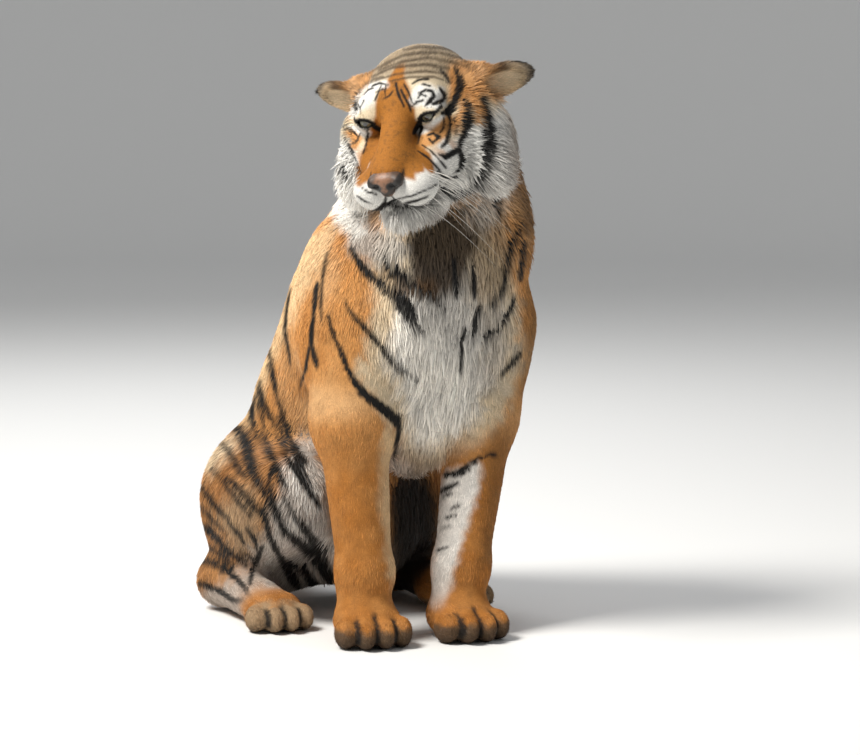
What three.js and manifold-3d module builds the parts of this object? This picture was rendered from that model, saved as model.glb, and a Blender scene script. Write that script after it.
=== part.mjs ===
// A life-size Siberian tiger, sitting upright on its haunches with its head turned to its right.
// Millimetres, +Z up. The tiger faces -Y, so its own right side is at -X.
//
// The body is written as soft forms: balls and tapered bones that melt into each other. Each node is
// the part of that one body inside its own region, so neighbours meet along a thin cut.
import * as THREE from "three";
import { mergeVertices } from "three/addons/utils/BufferGeometryUtils.js";
import Module from "manifold-3d";

const wasm = await Module();
wasm.setup();

// ---------------------------------------------------------------- driving sizes
const GAP = 0.3; // between nodes that touch
const HAIR_GAP = 0.55; // between a lock and the nodes beside its own
const SOCKET_GAP = 0.42; // round an eyeball, whose faces are flat
const MIDLINE = 20; // x of the spine; the forefeet stand a little to the right of it
const SPINE_TILT = 53; // slope of the back, degrees
const HEAD_AT = [-40, -370, 956]; // middle of the braincase
const HEAD_TURN = [17, -7, -49]; // nose down, left side up, turned to the right; degrees
const EYE_RADIUS = 19;
const EYE_AT = [60, -97, 36]; // in the head's frame, left side
const EAR_AT = [153, 44, 43]; // middle of the left ear, in the head's frame
const EAR_RADII = [58, 17, 36]; // half its length, thickness and width
const EAR_TURN = [22, 10, 16]; // opened forwards, drooped and swept back; degrees
const HIND_TOES_OUT = 12; // degrees

const RIGHT = -1;
const LEFT = 1;
const SIDES = [
  { name: "right", sign: RIGHT },
  { name: "left", sign: LEFT },
];

// Joints of the legs. The left forefoot stands under the chest, so the two sides differ.
const LEGS = {
  right: {
    elbow: [-140, -296, 400],
    wrist: [-128, -318, 128],
    forepaw: [-134, -344, 0],
    foreturn: -18,
    hip: [-100, 110, 225],
    knee: [-160, -80, 235],
    heel: [-196, 118, 56],
    hindpaw: [-208, -112, 0],
  },
  left: {
    elbow: [126, -300, 400],
    wrist: [60, -346, 128],
    forepaw: [46, -372, 0],
    foreturn: -6,
    hip: [140, 115, 225],
    knee: [192, -62, 235],
    heel: [200, 138, 56],
    hindpaw: [186, -88, 0],
  },
};

// ---------------------------------------------------------------- soft forms
const radians = THREE.MathUtils.degToRad;

function frameOf(at, turn) {
  const [x, y, z] = turn.map(radians);
  const frame = new THREE.Matrix4().makeRotationFromEuler(new THREE.Euler(x, y, z, "ZXY"));
  return frame.setPosition(...at);
}

const WORLD = new THREE.Matrix4();
const HEAD = frameOf(HEAD_AT, HEAD_TURN);

const moved = (frame, point) => new THREE.Vector3(...point).applyMatrix4(frame).toArray();

// An ellipsoid. blend is how widely it melts into the forms listed before it.
function ball(part, at, radii, blend, { turn = [0, 0, 0], frame = WORLD } = {}) {
  const e = frame.clone().multiply(frameOf(at, turn)).invert().elements;
  const [a, b, c] = radii;
  return {
    part,
    blend,
    distance(x, y, z) {
      const u = (e[0] * x + e[4] * y + e[8] * z + e[12]) / a;
      const v = (e[1] * x + e[5] * y + e[9] * z + e[13]) / b;
      const w = (e[2] * x + e[6] * y + e[10] * z + e[14]) / c;
      const near = Math.sqrt(u * u + v * v + w * w);
      const slope = Math.sqrt((u / a) ** 2 + (v / b) ** 2 + (w / c) ** 2);
      return slope > 0 ? (near * (near - 1)) / slope : -Math.min(a, b, c);
    },
  };
}

// A limb between two balls of different size.
function bone(part, start, end, startRadius, endRadius, blend, { frame = WORLD } = {}) {
  const [ax, ay, az] = moved(frame, start);
  const [bx, by, bz] = moved(frame, end);
  const [dx, dy, dz] = [bx - ax, by - ay, bz - az];
  const lengthSquared = dx * dx + dy * dy + dz * dz;
  return {
    part,
    blend,
    distance(x, y, z) {
      const [px, py, pz] = [x - ax, y - ay, z - az];
      const t = Math.min(1, Math.max(0, (px * dx + py * dy + pz * dz) / lengthSquared));
      const away = Math.hypot(px - t * dx, py - t * dy, pz - t * dz);
      return away - startRadius - t * (endRadius - startRadius);
    },
  };
}

// Smooth union of many forms.
function melt(forms) {
  return (x, y, z) => {
    let d = Infinity;
    for (const form of forms) {
      const next = form.distance(x, y, z);
      const share = Math.max(form.blend - Math.abs(d - next), 0) / form.blend;
      d = Math.min(d, next) - (share * share * form.blend) / 4;
    }
    return d;
  };
}

// ---------------------------------------------------------------- the tiger's forms
function torsoForms() {
  const tilt = { turn: [-SPINE_TILT, 0, 0] };
  const both = (make) => SIDES.map(({ sign }) => make((x) => MIDLINE + sign * x));
  return [
    ball("torso", [MIDLINE, -125, 570], [186, 250, 200], 1, tilt), // ribs
    ball("torso", [MIDLINE, 25, 385], [180, 240, 185], 80, tilt), // belly and loin
    ball("torso", [MIDLINE, 125, 215], [165, 172, 190], 80), // pelvis
    ball("torso", [MIDLINE, -10, 225], [146, 150, 165], 60), // belly between the thighs
    ball("torso", [MIDLINE, -280, 545], [142, 106, 184], 70), // breast
    ball("torso", [MIDLINE - 15, -258, 405], [80, 82, 106], 60), // brisket between the elbows
    ball("torso", [MIDLINE + 18, -150, 700], [98, 118, 100], 90), // withers
    ...both((x) => ball("torso", [x(146), -232, 590], [80, 128, 190], 60)), // shoulder
    ...both((x) => ball("torso", [x(72), -318, 590], [67, 73, 116], 50)), // breast muscle
  ];
}

function neckForms() {
  return [
    bone("neck", [MIDLINE + 36, -214, 715], [MIDLINE + 28, -281, 885], 151, 139, 80),
    ball("neck", [MIDLINE + 4, -335, 720], [104, 84, 122], 70), // throat
    ball("neck", [MIDLINE + 102, -282, 755], [98, 98, 128], 70), // side the head turns away from
  ];
}

function headForms() {
  const at = { frame: HEAD };
  const h = (centre, radii, blend, turn = [0, 0, 0]) =>
    ball("head", centre, radii, blend, { turn, frame: HEAD });
  const pair = (make) => SIDES.map(({ sign }) => make(sign));
  return [
    h([0, 28, 38], [102, 110, 90], 40), // braincase
    h([0, -50, 56], [70, 62, 48], 40), // forehead
    ...pair((s) => h([s * 46, -78, 62], [34, 30, 20], 20)), // brow
    bone("head", [0, -92, 38], [0, -204, -33], 33, 27, 24, at), // bridge of the nose
    h([0, -145, -46], [58, 70, 44], 30), // muzzle
    ...pair((s) => h([s * 37, -184, -60], [42, 48, 34], 14)), // whisker pads
    h([0, -168, -105], [36, 40, 22], 14), // chin
    ...pair((s) => bone("head", [s * 18, -140, -98], [s * 66, -12, -82], 25, 42, 26, at)), // jaw
    ...pair((s) => h([s * 80, -18, -15], [54, 76, 64], 30)), // cheek
    ...pair((s) => h([s * 62, -86, -14], [38, 38, 30], 26)), // cheekbone
    ...pair((s) => h([s * 54, -96, -48], [38, 48, 34], 30)), // behind the whisker pads
    ...pair((s) => h([s * 98, 30, -48], [38, 50, 78], 30)), // under the side whiskers
    h([0, -10, -88], [84, 92, 50], 40), // throat of the head
    h([0, -120, -116], [48, 46, 26], 24), // under the beard
    ...pair((s) => h([s * 60, -99, 36], [25.5, 23, 22.5], 10)), // eyelids
    ...pair((s) => h([s * 108, 34, 50], [44, 30, 34], 30)), // root of the ear
  ];
}

// Four toes side by side. The outer two are set back and shorter.
function toeForms(paw, places, middle, outer, at) {
  return places.map((x, i) => {
    const { forward, up, radii } = i === 0 || i === places.length - 1 ? outer : middle;
    return ball(paw, [x, -forward, up], radii, 9, at);
  });
}

function foreForms({ name, sign }) {
  const { elbow, wrist, forepaw, foreturn } = LEGS[name];
  const leg = `foreleg_${name}`;
  const paw = `forepaw_${name}`;
  const shoulder = [MIDLINE + sign * 146, -270, 560];
  const at = { frame: frameOf([forepaw[0], forepaw[1], 0], [0, 0, foreturn]) };
  const middle = { forward: 58, up: 28, radii: [23, 41, 31] };
  const outer = { forward: 42, up: 28, radii: [23, 37, 31] };
  return [
    bone(leg, shoulder, elbow, 82, 74, 60),
    bone(leg, elbow, wrist, 70, 54, 40),
    ball(leg, [elbow[0], elbow[1] + 34, elbow[2] + 6], [54, 54, 70], 40),
    bone(leg, wrist, [forepaw[0], forepaw[1] + 22, 52], 54, 52, 30),
    ball(paw, [0, 2, 38], [64, 68, 46], 26, at), // back of the paw
    ...toeForms(paw, [-51, -18, 18, 51], middle, outer, at),
  ];
}

function hindForms({ name, sign }) {
  const { hip, knee, heel, hindpaw } = LEGS[name];
  const leg = `hindleg_${name}`;
  const paw = `hindpaw_${name}`;
  const at = { frame: frameOf([hindpaw[0], hindpaw[1], 0], [0, 0, sign * HIND_TOES_OUT]) };
  const middle = { forward: 54, up: 25, radii: [21, 38, 27] };
  const outer = { forward: 38, up: 25, radii: [21, 34, 27] };
  return [
    bone(leg, hip, knee, 128, 96, 60), // thigh
    ball(leg, [hip[0], hip[1] + 20, 165], [118, 125, 160], 60), // ham
    bone(leg, knee, heel, 88, 48, 50), // shank
    bone(leg, heel, [hindpaw[0], hindpaw[1] + 60, 44], 48, 46, 30), // long foot
    ball(paw, [0, 10, 34], [58, 66, 40], 24, at), // back of the paw
    ...toeForms(paw, [-46, -16, 16, 46], middle, outer, at),
  ];
}

// The tail leaves the rump, drops to the floor and curls round beside the left haunch.
const TAIL_POINTS = [
  [25, 250, 130],
  [38, 330, 85],
  [50, 405, 48],
  [108, 545, 40],
  [240, 640, 38],
  [375, 618, 37],
  [458, 525, 36],
  [474, 420, 34],
  [448, 330, 32],
];
const TAIL_RADII = [62, 54, 48, 44, 42, 41, 40, 38, 33];
const TAIL_STEPS = 18;

function tailForms() {
  const curve = new THREE.CatmullRomCurve3(TAIL_POINTS.map((p) => new THREE.Vector3(...p)));
  const radiusAt = (t) => {
    const place = t * (TAIL_RADII.length - 1);
    const low = Math.min(Math.floor(place), TAIL_RADII.length - 2);
    return THREE.MathUtils.lerp(TAIL_RADII[low], TAIL_RADII[low + 1], place - low);
  };
  return Array.from({ length: TAIL_STEPS }, (_, i) => {
    const [t, u] = [i / TAIL_STEPS, (i + 1) / TAIL_STEPS];
    const [a, b] = [curve.getPoint(t).toArray(), curve.getPoint(u).toArray()];
    return bone("tail", a, b, radiusAt(t), radiusAt(u), i ? 12 : 40);
  });
}

const FORMS = [
  ...torsoForms(),
  ...neckForms(),
  ...headForms(),
  ...SIDES.flatMap(foreForms),
  ...SIDES.flatMap(hindForms),
  ...tailForms(),
];
const coat = melt(FORMS);
const formsOf = (...parts) => FORMS.filter((form) => parts.some((p) => form.part.startsWith(p)));

// ---------------------------------------------------------------- from a field to a solid
// Walks a grid of cubes, each cut into six tetrahedra along its diagonal, and joins the places where
// the field passes through zero. The surface is always closed.
function polygonise(field, [low, high], step) {
  const size = low.map((v, i) => Math.ceil((high[i] - v) / step) + 1);
  const [nx, ny, nz] = size;
  const index = (i, j, k) => i + nx * (j + ny * k);
  const value = new Float32Array(nx * ny * nz);
  for (let k = 0; k < nz; k++)
    for (let j = 0; j < ny; j++)
      for (let i = 0; i < nx; i++) {
        const rim = !i || !j || !k || i === nx - 1 || j === ny - 1 || k === nz - 1;
        const d = field(low[0] + i * step, low[1] + j * step, low[2] + k * step);
        value[index(i, j, k)] = rim ? step : d || 1e-6;
      }
  const points = [];
  const triangles = [];
  const known = new Map();
  const offset = (bits) => index(bits & 1, (bits >> 1) & 1, bits >> 2);
  const placeOf = (n) => [n % nx, Math.floor(n / nx) % ny, Math.floor(n / (nx * ny))];
  function crossing(from, fromBits, to, toBits) {
    const [a, bits] = from < to ? [from, toBits ^ fromBits] : [to, toBits ^ fromBits];
    const key = a * 8 + bits;
    if (!known.has(key)) {
      const b = a + offset(bits);
      const t = THREE.MathUtils.clamp(value[a] / (value[a] - value[b]), 0.1, 0.9);
      const [p, q] = [placeOf(a), placeOf(b)];
      known.set(key, points.length);
      points.push(p.map((v, i) => low[i] + step * (v + t * (q[i] - v))));
    }
    return known.get(key);
  }
  const paths = [1, 2, 4].flatMap((a) => [1, 2, 4].filter((b) => b !== a).map((b) => [0, a, a | b, 7]));
  for (let k = 0; k < nz - 1; k++)
    for (let j = 0; j < ny - 1; j++)
      for (let i = 0; i < nx - 1; i++) {
        const base = index(i, j, k);
        const first = value[base] < 0;
        let mixed = false;
        for (let bits = 1; bits < 8 && !mixed; bits++) mixed = value[base + offset(bits)] < 0 !== first;
        if (!mixed) continue;
        for (const path of paths) {
          const inside = path.filter((bits) => value[base + offset(bits)] < 0);
          const outside = path.filter((bits) => value[base + offset(bits)] >= 0);
          if (!inside.length || !outside.length) continue;
          const cross = (a, b) => crossing(base + offset(a), a, base + offset(b), b);
          const ring =
            inside.length === 1
              ? outside.map((b) => cross(inside[0], b))
              : outside.length === 1
                ? inside.map((a) => cross(a, outside[0]))
                : [
                    cross(inside[0], outside[0]),
                    cross(inside[0], outside[1]),
                    cross(inside[1], outside[1]),
                    cross(inside[1], outside[0]),
                  ];
          const [p, q, r] = ring.map((n) => points[n]);
          const out = [0, 1, 2].map((axis) => {
            const mean = (list) => list.reduce((sum, b) => sum + ((b >> axis) & 1), 0) / list.length;
            return mean(outside) - mean(inside);
          });
          const [ux, uy, uz] = [q[0] - p[0], q[1] - p[1], q[2] - p[2]];
          const [vx, vy, vz] = [r[0] - p[0], r[1] - p[1], r[2] - p[2]];
          const facing =
            (uy * vz - uz * vy) * out[0] + (uz * vx - ux * vz) * out[1] + (ux * vy - uy * vx) * out[2];
          if (facing < 0) ring.reverse();
          triangles.push([ring[0], ring[1], ring[2]]);
          if (ring.length === 4) triangles.push([ring[0], ring[2], ring[3]]);
        }
      }
  return { points, triangles };
}

// A priority queue of edges, cheapest first.
class Queue {
  items = [];
  push(item) {
    const list = this.items;
    let i = list.push(item) - 1;
    while (i > 0) {
      const parent = (i - 1) >> 1;
      if (list[parent].cost <= item.cost) break;
      list[i] = list[parent];
      i = parent;
    }
    list[i] = item;
  }
  pop() {
    const list = this.items;
    const top = list[0];
    const last = list.pop();
    if (!list.length) return top;
    let i = 0;
    for (;;) {
      let child = 2 * i + 1;
      if (child >= list.length) break;
      if (child + 1 < list.length && list[child + 1].cost < list[child].cost) child++;
      if (list[child].cost >= last.cost) break;
      list[i] = list[child];
      i = child;
    }
    list[i] = last;
    return top;
  }
}

const minus = (a, b) => [a[0] - b[0], a[1] - b[1], a[2] - b[2]];
const cross = (a, b) => [a[1] * b[2] - a[2] * b[1], a[2] * b[0] - a[0] * b[2], a[0] * b[1] - a[1] * b[0]];
const dot = (a, b) => a[0] * b[0] + a[1] * b[1] + a[2] * b[2];

const STEADY = 2e-3; // pulls each vertex a little towards where it was
const LEAST_DETERMINANT = 1e-9; // below this the planes don't fix a point
const LEAST_TURN = 0.35; // cosine: a fold that turns a triangle more than this is not made

// Folds short, flat edges together until few enough triangles are left. Each vertex keeps the sum of
// the squared distances to the planes it has stood for, and each fold takes the cheapest edge.
function decimate({ points, triangles }, target, importance = () => 1) {
  const facesAt = points.map(() => new Set());
  const cost = points.map(() => new Float64Array(10));
  const stamp = new Int32Array(points.length);
  const alive = triangles.map(() => true);
  const addPlane = (q, n, d, w) => {
    const p = [n[0], n[1], n[2], d];
    let slot = 0;
    for (let i = 0; i < 4; i++) for (let j = i; j < 4; j++) q[slot++] += w * p[i] * p[j];
  };
  triangles.forEach((corners, f) => {
    const [a, b, c] = corners.map((v) => points[v]);
    const n = cross(minus(b, a), minus(c, a));
    const area = Math.hypot(...n) || 1e-12;
    const facing = n.map((v) => v / area);
    for (const v of corners) {
      facesAt[v].add(f);
      const w = area * importance(points[v]);
      addPlane(cost[v], facing, -dot(facing, a), w);
      for (let axis = 0; axis < 3; axis++) {
        const level = [0, 0, 0];
        level[axis] = 1;
        addPlane(cost[v], level, -points[v][axis], w * STEADY);
      }
    }
  });
  const errorOf = (q, [x, y, z]) =>
    q[0] * x * x + 2 * q[1] * x * y + 2 * q[2] * x * z + 2 * q[3] * x + q[4] * y * y +
    2 * q[5] * y * z + 2 * q[6] * y + q[7] * z * z + 2 * q[8] * z + q[9];
  function consider(a, b) {
    const q = cost[a].map((v, i) => v + cost[b][i]);
    const rows = [
      [q[0], q[1], q[2]],
      [q[1], q[4], q[5]],
      [q[2], q[5], q[7]],
    ];
    const right = [-q[3], -q[6], -q[8]];
    const det = dot(rows[0], cross(rows[1], rows[2]));
    const middle = points[a].map((v, i) => (v + points[b][i]) / 2);
    let at = middle;
    if (Math.abs(det) > LEAST_DETERMINANT) {
      const columns = [0, 1, 2].map((c) => rows.map((row) => row[c]));
      const swap = (c) => columns.map((column, i) => (i === c ? right : column));
      at = [0, 1, 2].map((c) => {
        const [u, v, w] = swap(c);
        return dot(u, cross(v, w)) / det;
      });
      const reach = Math.hypot(...minus(points[a], points[b])) * 2;
      if (!(Math.hypot(...minus(at, middle)) < reach)) at = middle;
    }
    return { a, b, at, cost: errorOf(q, at), stamp: stamp[a] + stamp[b] };
  }
  const neighbours = (v) => {
    const corners = [...facesAt[v]].flatMap((f) => triangles[f]);
    return new Set(corners.filter((n) => n !== v));
  };
  const flips = (v, gone, at) =>
    [...facesAt[v]].some((f) => {
      const corners = triangles[f];
      if (corners.includes(gone)) return false;
      const before = corners.map((n) => points[n]);
      const after = corners.map((n) => (n === v ? at : points[n]));
      const was = cross(minus(before[1], before[0]), minus(before[2], before[0]));
      const is = cross(minus(after[1], after[0]), minus(after[2], after[0]));
      return dot(was, is) < LEAST_TURN * Math.hypot(...was) * Math.hypot(...is);
    });
  const queue = new Queue();
  triangles.forEach(([a, b, c]) => {
    for (const [u, v] of [[a, b], [b, c], [c, a]]) if (u < v) queue.push(consider(u, v));
  });
  let count = triangles.length;
  while (count > target && queue.items.length) {
    const { a, b, at, stamp: when } = queue.pop();
    if (!facesAt[a].size || !facesAt[b].size || when !== stamp[a] + stamp[b]) continue;
    const [nearA, nearB] = [neighbours(a), neighbours(b)];
    if (!nearA.has(b) || [...nearA].filter((v) => nearB.has(v)).length !== 2) continue;
    if (flips(a, b, at) || flips(b, a, at)) continue;
    points[a] = at;
    for (let i = 0; i < 10; i++) cost[a][i] += cost[b][i];
    for (const f of [...facesAt[b]]) {
      if (triangles[f].includes(a)) {
        alive[f] = false;
        count--;
        triangles[f].forEach((v) => facesAt[v].delete(f));
      } else {
        triangles[f] = triangles[f].map((v) => (v === b ? a : v));
        facesAt[a].add(f);
      }
    }
    facesAt[b].clear();
    stamp[a] += 1 + stamp[b];
    for (const v of neighbours(a)) queue.push(consider(Math.min(v, a), Math.max(v, a)));
  }
  return { points, triangles: triangles.filter((_, f) => alive[f]) };
}

function toSolid({ points, triangles }) {
  const vertProperties = new Float32Array(points.flat());
  const triVerts = new Uint32Array(triangles.flat());
  const mesh = new wasm.Mesh({ numProp: 3, vertProperties, triVerts });
  mesh.merge();
  return new wasm.Manifold(mesh);
}

// A three.js geometry as a solid, placed by a frame. A frame that mirrors turns the faces round again.
function solidOf(geometry, frame = WORLD) {
  const bare = new THREE.BufferGeometry();
  const source = geometry.index ? geometry.toNonIndexed() : geometry;
  bare.setAttribute("position", source.getAttribute("position"));
  bare.applyMatrix4(frame);
  const merged = mergeVertices(bare, 1e-3);
  const vertProperties = new Float32Array(merged.attributes.position.array);
  const triVerts = new Uint32Array(merged.index.array);
  if (frame.determinant() < 0) triVerts.reverse();
  return new wasm.Manifold(new wasm.Mesh({ numProp: 3, vertProperties, triVerts }));
}

function pointsOf(solid) {
  const mesh = solid.getMesh();
  const points = [];
  const triangles = [];
  for (let i = 0; i < mesh.numVert; i++)
    points.push([...mesh.vertProperties.subarray(i * mesh.numProp, i * mesh.numProp + 3)]);
  for (let i = 0; i < mesh.numTri; i++) triangles.push([...mesh.triVerts.subarray(i * 3, i * 3 + 3)]);
  return { points, triangles };
}

// The same surface pushed out along its normals.
function grow(solid, by = GAP) {
  const { points, triangles } = pointsOf(solid);
  const normals = points.map(() => [0, 0, 0]);
  for (const corners of triangles) {
    const [a, b, c] = corners.map((v) => points[v]);
    const n = cross(minus(b, a), minus(c, a));
    for (const v of corners) n.forEach((value, i) => (normals[v][i] += value));
  }
  const pushed = points.map((p, v) => {
    const length = Math.hypot(...normals[v]) || 1;
    return p.map((value, i) => value + (by * normals[v][i]) / length);
  });
  return toSolid({ points: pushed, triangles });
}

// The largest of a solid's separate bodies, without the scraps that a cut leaves.
const largest = (solid) =>
  solid.decompose().reduce((best, body) => (body.volume() > best.volume() ? body : best));

// A solid from a field: step is the grid's, target how many triangles stay, importance where they do.
const body = (field, box, step, target, importance) =>
  toSolid(decimate(polygonise(field, box, step), target, importance));

// The half-space on the side that the normal points to, as a slab that is large enough for the tiger.
const FAR = 3000;
function beyond(point, normal, shift = 0) {
  const n = new THREE.Vector3(...normal).normalize();
  const frame = new THREE.Matrix4().makeRotationFromQuaternion(
    new THREE.Quaternion().setFromUnitVectors(new THREE.Vector3(0, 0, 1), n),
  );
  const centre = new THREE.Vector3(...point).addScaledVector(n, FAR / 2 + shift);
  return solidOf(new THREE.BoxGeometry(FAR, FAR, FAR), frame.setPosition(centre));
}

// ---------------------------------------------------------------- regions
// A leg's region is the space nearer to the leg's own forms than to the rest of the body.
function nearerTo(parts, box, step) {
  const mine = melt(formsOf(...parts));
  const rest = melt(FORMS.filter((form) => !parts.some((p) => form.part.startsWith(p))));
  const field = (x, y, z) => mine(x, y, z) - rest(x, y, z);
  return body(field, box, step, REGION_TRIANGLES);
}

const SHOULDER_CUT = 505; // height where the upper arm leaves the shoulder
const WRIST_CUT = 100;
const SHIN_CUT = 112;
const LEG_REACH = 330; // how far from the midline a leg's space goes outwards
const REGION_INNER = 40; // and past the midline, for a region
const LEG_INNER = 70; // and for the leg itself, which is a little larger than its region
const FORE_SPAN = [-540, -110]; // along y
const HIND_SPAN = [-290, 420];
const HIND_TOP = 470;
const REGION_TRIANGLES = 420;
const REGION_FLOOR = -60; // below the floor, so that the floor's own cut is clean
const LEG_FLOOR = -40;
const headward = new THREE.Vector3(0, -1, 0).applyAxisAngle(
  new THREE.Vector3(0, 0, 1),
  radians(HEAD_TURN[2]),
);
const nape = new THREE.Vector3(...HEAD_AT).addScaledVector(headward, -98).setZ(HEAD_AT[2] + 62);
const PLANES = {
  floor: { point: [0, 0, 0], normal: [0, 0, 1] },
  head: { point: nape.toArray(), normal: [headward.x * 0.87, headward.y * 0.87, 0.49] },
  neck: { point: [MIDLINE, -225, 765], normal: [0, -0.45, 0.9] },
  upperArm: { point: [0, 0, SHOULDER_CUT], normal: [0, 0, -1] },
  waist: { point: [MIDLINE, -20, 400], normal: [0, -0.6, 0.8] },
  shin: { point: [0, 0, SHIN_CUT], normal: [0, 0, -1] },
  tail: { point: [MIDLINE, 300, 100], normal: [0.1, 0.9, -0.42] },
  tailBend: { point: [108, 545, 40], normal: [0.7, 0.7, 0] },
  tailEnd: { point: [415, 578, 37], normal: [0.5, -0.85, 0] },
};
const side = (plane, shift = 0) => beyond(plane.point, plane.normal, shift);
const floor = side(PLANES.floor);

// The space of one leg, from a little past the midline outwards.
function legBox(sign, past, [back, front], bottom, top) {
  const out = MIDLINE + sign * LEG_REACH;
  const inner = MIDLINE - sign * past;
  return [[Math.min(out, inner), back, bottom], [Math.max(out, inner), front, top]];
}

function hindRegion(name, sign) {
  const box = legBox(sign, REGION_INNER, HIND_SPAN, REGION_FLOOR, HIND_TOP);
  return nearerTo([`hindleg_${name}`, `hindpaw_${name}`], box, 22);
}

function foreRegion(name, sign) {
  const box = legBox(sign, REGION_INNER, FORE_SPAN, REGION_FLOOR, SHOULDER_CUT + 60);
  return nearerTo([`foreleg_${name}`, `forepaw_${name}`], box, 20);
}

// Each region as it is, and grown for what has to stay clear of it.
const regions = { head: side(PLANES.head), neck: side(PLANES.neck) };
const grown = { head: side(PLANES.head, -GAP), neck: side(PLANES.neck, -GAP) };
const legsAway = [];
for (const { name, sign } of SIDES) {
  const hind = hindRegion(name, sign);
  const fore = foreRegion(name, sign);
  const upperArm = (by) => grow(fore, by).intersect(side(PLANES.upperArm, -by));
  regions[`hind_${name}`] = hind;
  grown[`hind_${name}`] = grow(hind);
  regions[`fore_${name}`] = fore.intersect(side(PLANES.upperArm));
  grown[`fore_${name}`] = upperArm(GAP);
  legsAway.push(grow(hind, HAIR_GAP), upperArm(HAIR_GAP));
}

// ---------------------------------------------------------------- locks of long hair
// Repeatable random numbers from 0 to 1.
function randomFrom(seed) {
  let state = seed;
  return () => {
    state = (state + 0x6d2b79f5) | 0;
    let t = Math.imul(state ^ (state >>> 15), 1 | state);
    t = (t + Math.imul(t ^ (t >>> 7), 61 | t)) ^ t;
    return ((t ^ (t >>> 14)) >>> 0) / 4294967296;
  };
}

// Where a straight line from outside to inside meets the coat.
function onCoat(outside, inside) {
  let [out, into] = [0, 1];
  const at = (t) => outside.map((v, i) => v + t * (inside[i] - v));
  for (let i = 0; i < 24; i++) {
    const middle = (out + into) / 2;
    if (coat(...at(middle)) < 0) into = middle;
    else out = middle;
  }
  return at(into);
}

const unit = (v) => {
  const length = Math.hypot(...v) || 1;
  return v.map((value) => value / length);
};
const along = (point, direction, distance) => point.map((v, i) => v + distance * direction[i]);

function outwards(point) {
  const reach = 3;
  const slope = [0, 1, 2].map((axis) => {
    const step = [0, 0, 0];
    step[axis] = reach;
    return coat(...along(point, step, 1)) - coat(...along(point, step, -1));
  });
  return unit(slope);
}

const LOCK_SINK = 9; // how deep a root is set
const LOCK_THICK = 9; // at the root
const LOCK_CROWN = 0.75; // share of the thickness above the middle of a lock
const LOCK_EDGE = 4; // an edge is thin, so it moves out this many times as far as a face
const LOCK_STEPS = 25; // along its length
const LOCK_RISE = 1.5; // a lock is up at its full height by 1 / LOCK_RISE of its length
const LOCK_SHAPE = [
  { place: 0, wide: 0.78, thick: 1 },
  { place: 0.4, wide: 1, thick: 0.9 },
  { place: 0.78, wide: 0.66, thick: 0.6 },
];

// The way of a lock over the coat. It keeps at least its lift above the coat, and at most that and its
// loose part, and droops on the way.
function lockPath(root, flow, { length, lift, droop = 0, loose = 4 }) {
  const places = [];
  let at = along(root, outwards(root), -LOCK_SINK);
  let ahead = unit(flow);
  for (let i = 0; i <= LOCK_STEPS; i++) {
    const share = i / LOCK_STEPS;
    places.push({ at, ahead, out: outwards(at) });
    ahead = unit([ahead[0], ahead[1], ahead[2] - droop / LOCK_STEPS]);
    const next = along(at, ahead, length / LOCK_STEPS);
    const risen = Math.min(1, LOCK_RISE * (share + 1 / LOCK_STEPS));
    const least = (LOCK_SINK + lift) * risen - LOCK_SINK;
    const height = coat(...next);
    const wanted = Math.min(Math.max(height, least), least + loose + LOCK_SINK * share);
    const settled = along(next, outwards(next), wanted - height);
    ahead = unit(minus(settled, at));
    at = settled;
  }
  return places;
}

// A flat lock that rises from its root, bends along the coat and tapers to a point. Its section is a
// low ridge. extra makes it that much fatter all round.
function lock(root, flow, size, extra = 0) {
  const places = lockPath(root, flow, size);
  const points = [];
  for (const { place, wide, thick } of LOCK_SHAPE) {
    const { at, ahead, out } = places[Math.round(place * LOCK_STEPS)];
    const sideways = unit(cross(ahead, out));
    const up = cross(sideways, ahead);
    const centre = along(at, ahead, place ? 0 : -extra);
    const half = (wide * size.width) / 2 + LOCK_EDGE * extra;
    points.push(along(centre, sideways, half));
    points.push(along(centre, up, LOCK_THICK * thick * LOCK_CROWN + extra));
    points.push(along(centre, sideways, -half));
    points.push(along(centre, up, -LOCK_THICK * thick * (1 - LOCK_CROWN) - extra));
  }
  const tip = places[LOCK_STEPS];
  points.push(along(tip.at, tip.ahead, extra * 2));
  const end = points.length - 1;
  const triangles = [[0, 1, 2], [0, 2, 3]];
  for (let corner = 0; corner < end; corner++) {
    const beside = corner - (corner % 4) + ((corner + 1) % 4);
    if (corner + 4 < end) triangles.push([corner, beside + 4, beside], [corner, corner + 4, beside + 4]);
    else triangles.push([corner, end, beside]);
  }
  return toSolid({ points, triangles });
}

const LENGTH_VARIES = 0.16; // share of its length by which a lock is longer or shorter
const WIDTH_VARIES = 0.14;
const TURN_VARIES = 0.14;
const ACROSS_VARIES = 0.3; // share of the distance between two locks
const DOWN_VARIES = 0.35;

// Rows of locks over a patch of the coat. Each row starts half a lock further along than the last.
function rowsOfLocks({ rows, each, seed, ray, flow, sizes }) {
  const random = randomFrom(seed);
  const vary = (amount) => 1 + amount * (2 * random() - 1);
  const list = [];
  for (let row = 0; row < rows; row++) {
    for (let i = 0; i < each; i++) {
      const across = (i + (row % 2) * 0.5 + ACROSS_VARIES * (random() - 0.5)) / (each - 0.5);
      const down = rows > 1 ? (row + DOWN_VARIES * (random() - 0.5)) / (rows - 1) : 0.5;
      const [outside, inside] = ray(across, down);
      const base = sizes(across, down);
      const [length, width] = [base.length * vary(LENGTH_VARIES), base.width * vary(WIDTH_VARIES)];
      const size = { ...base, length, width };
      const turn = flow(across, down).map((v) => v + TURN_VARIES * (random() - 0.5));
      list.push([onCoat(outside, inside), turn, size]);
    }
  }
  return list;
}

const union = (solids) => wasm.Manifold.union(solids);
const solidLocks = (list) => union(list.map((one) => lock(...one)));
const grownLocks = (list) => union(list.map((one) => lock(...one, HAIR_GAP)));

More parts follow.
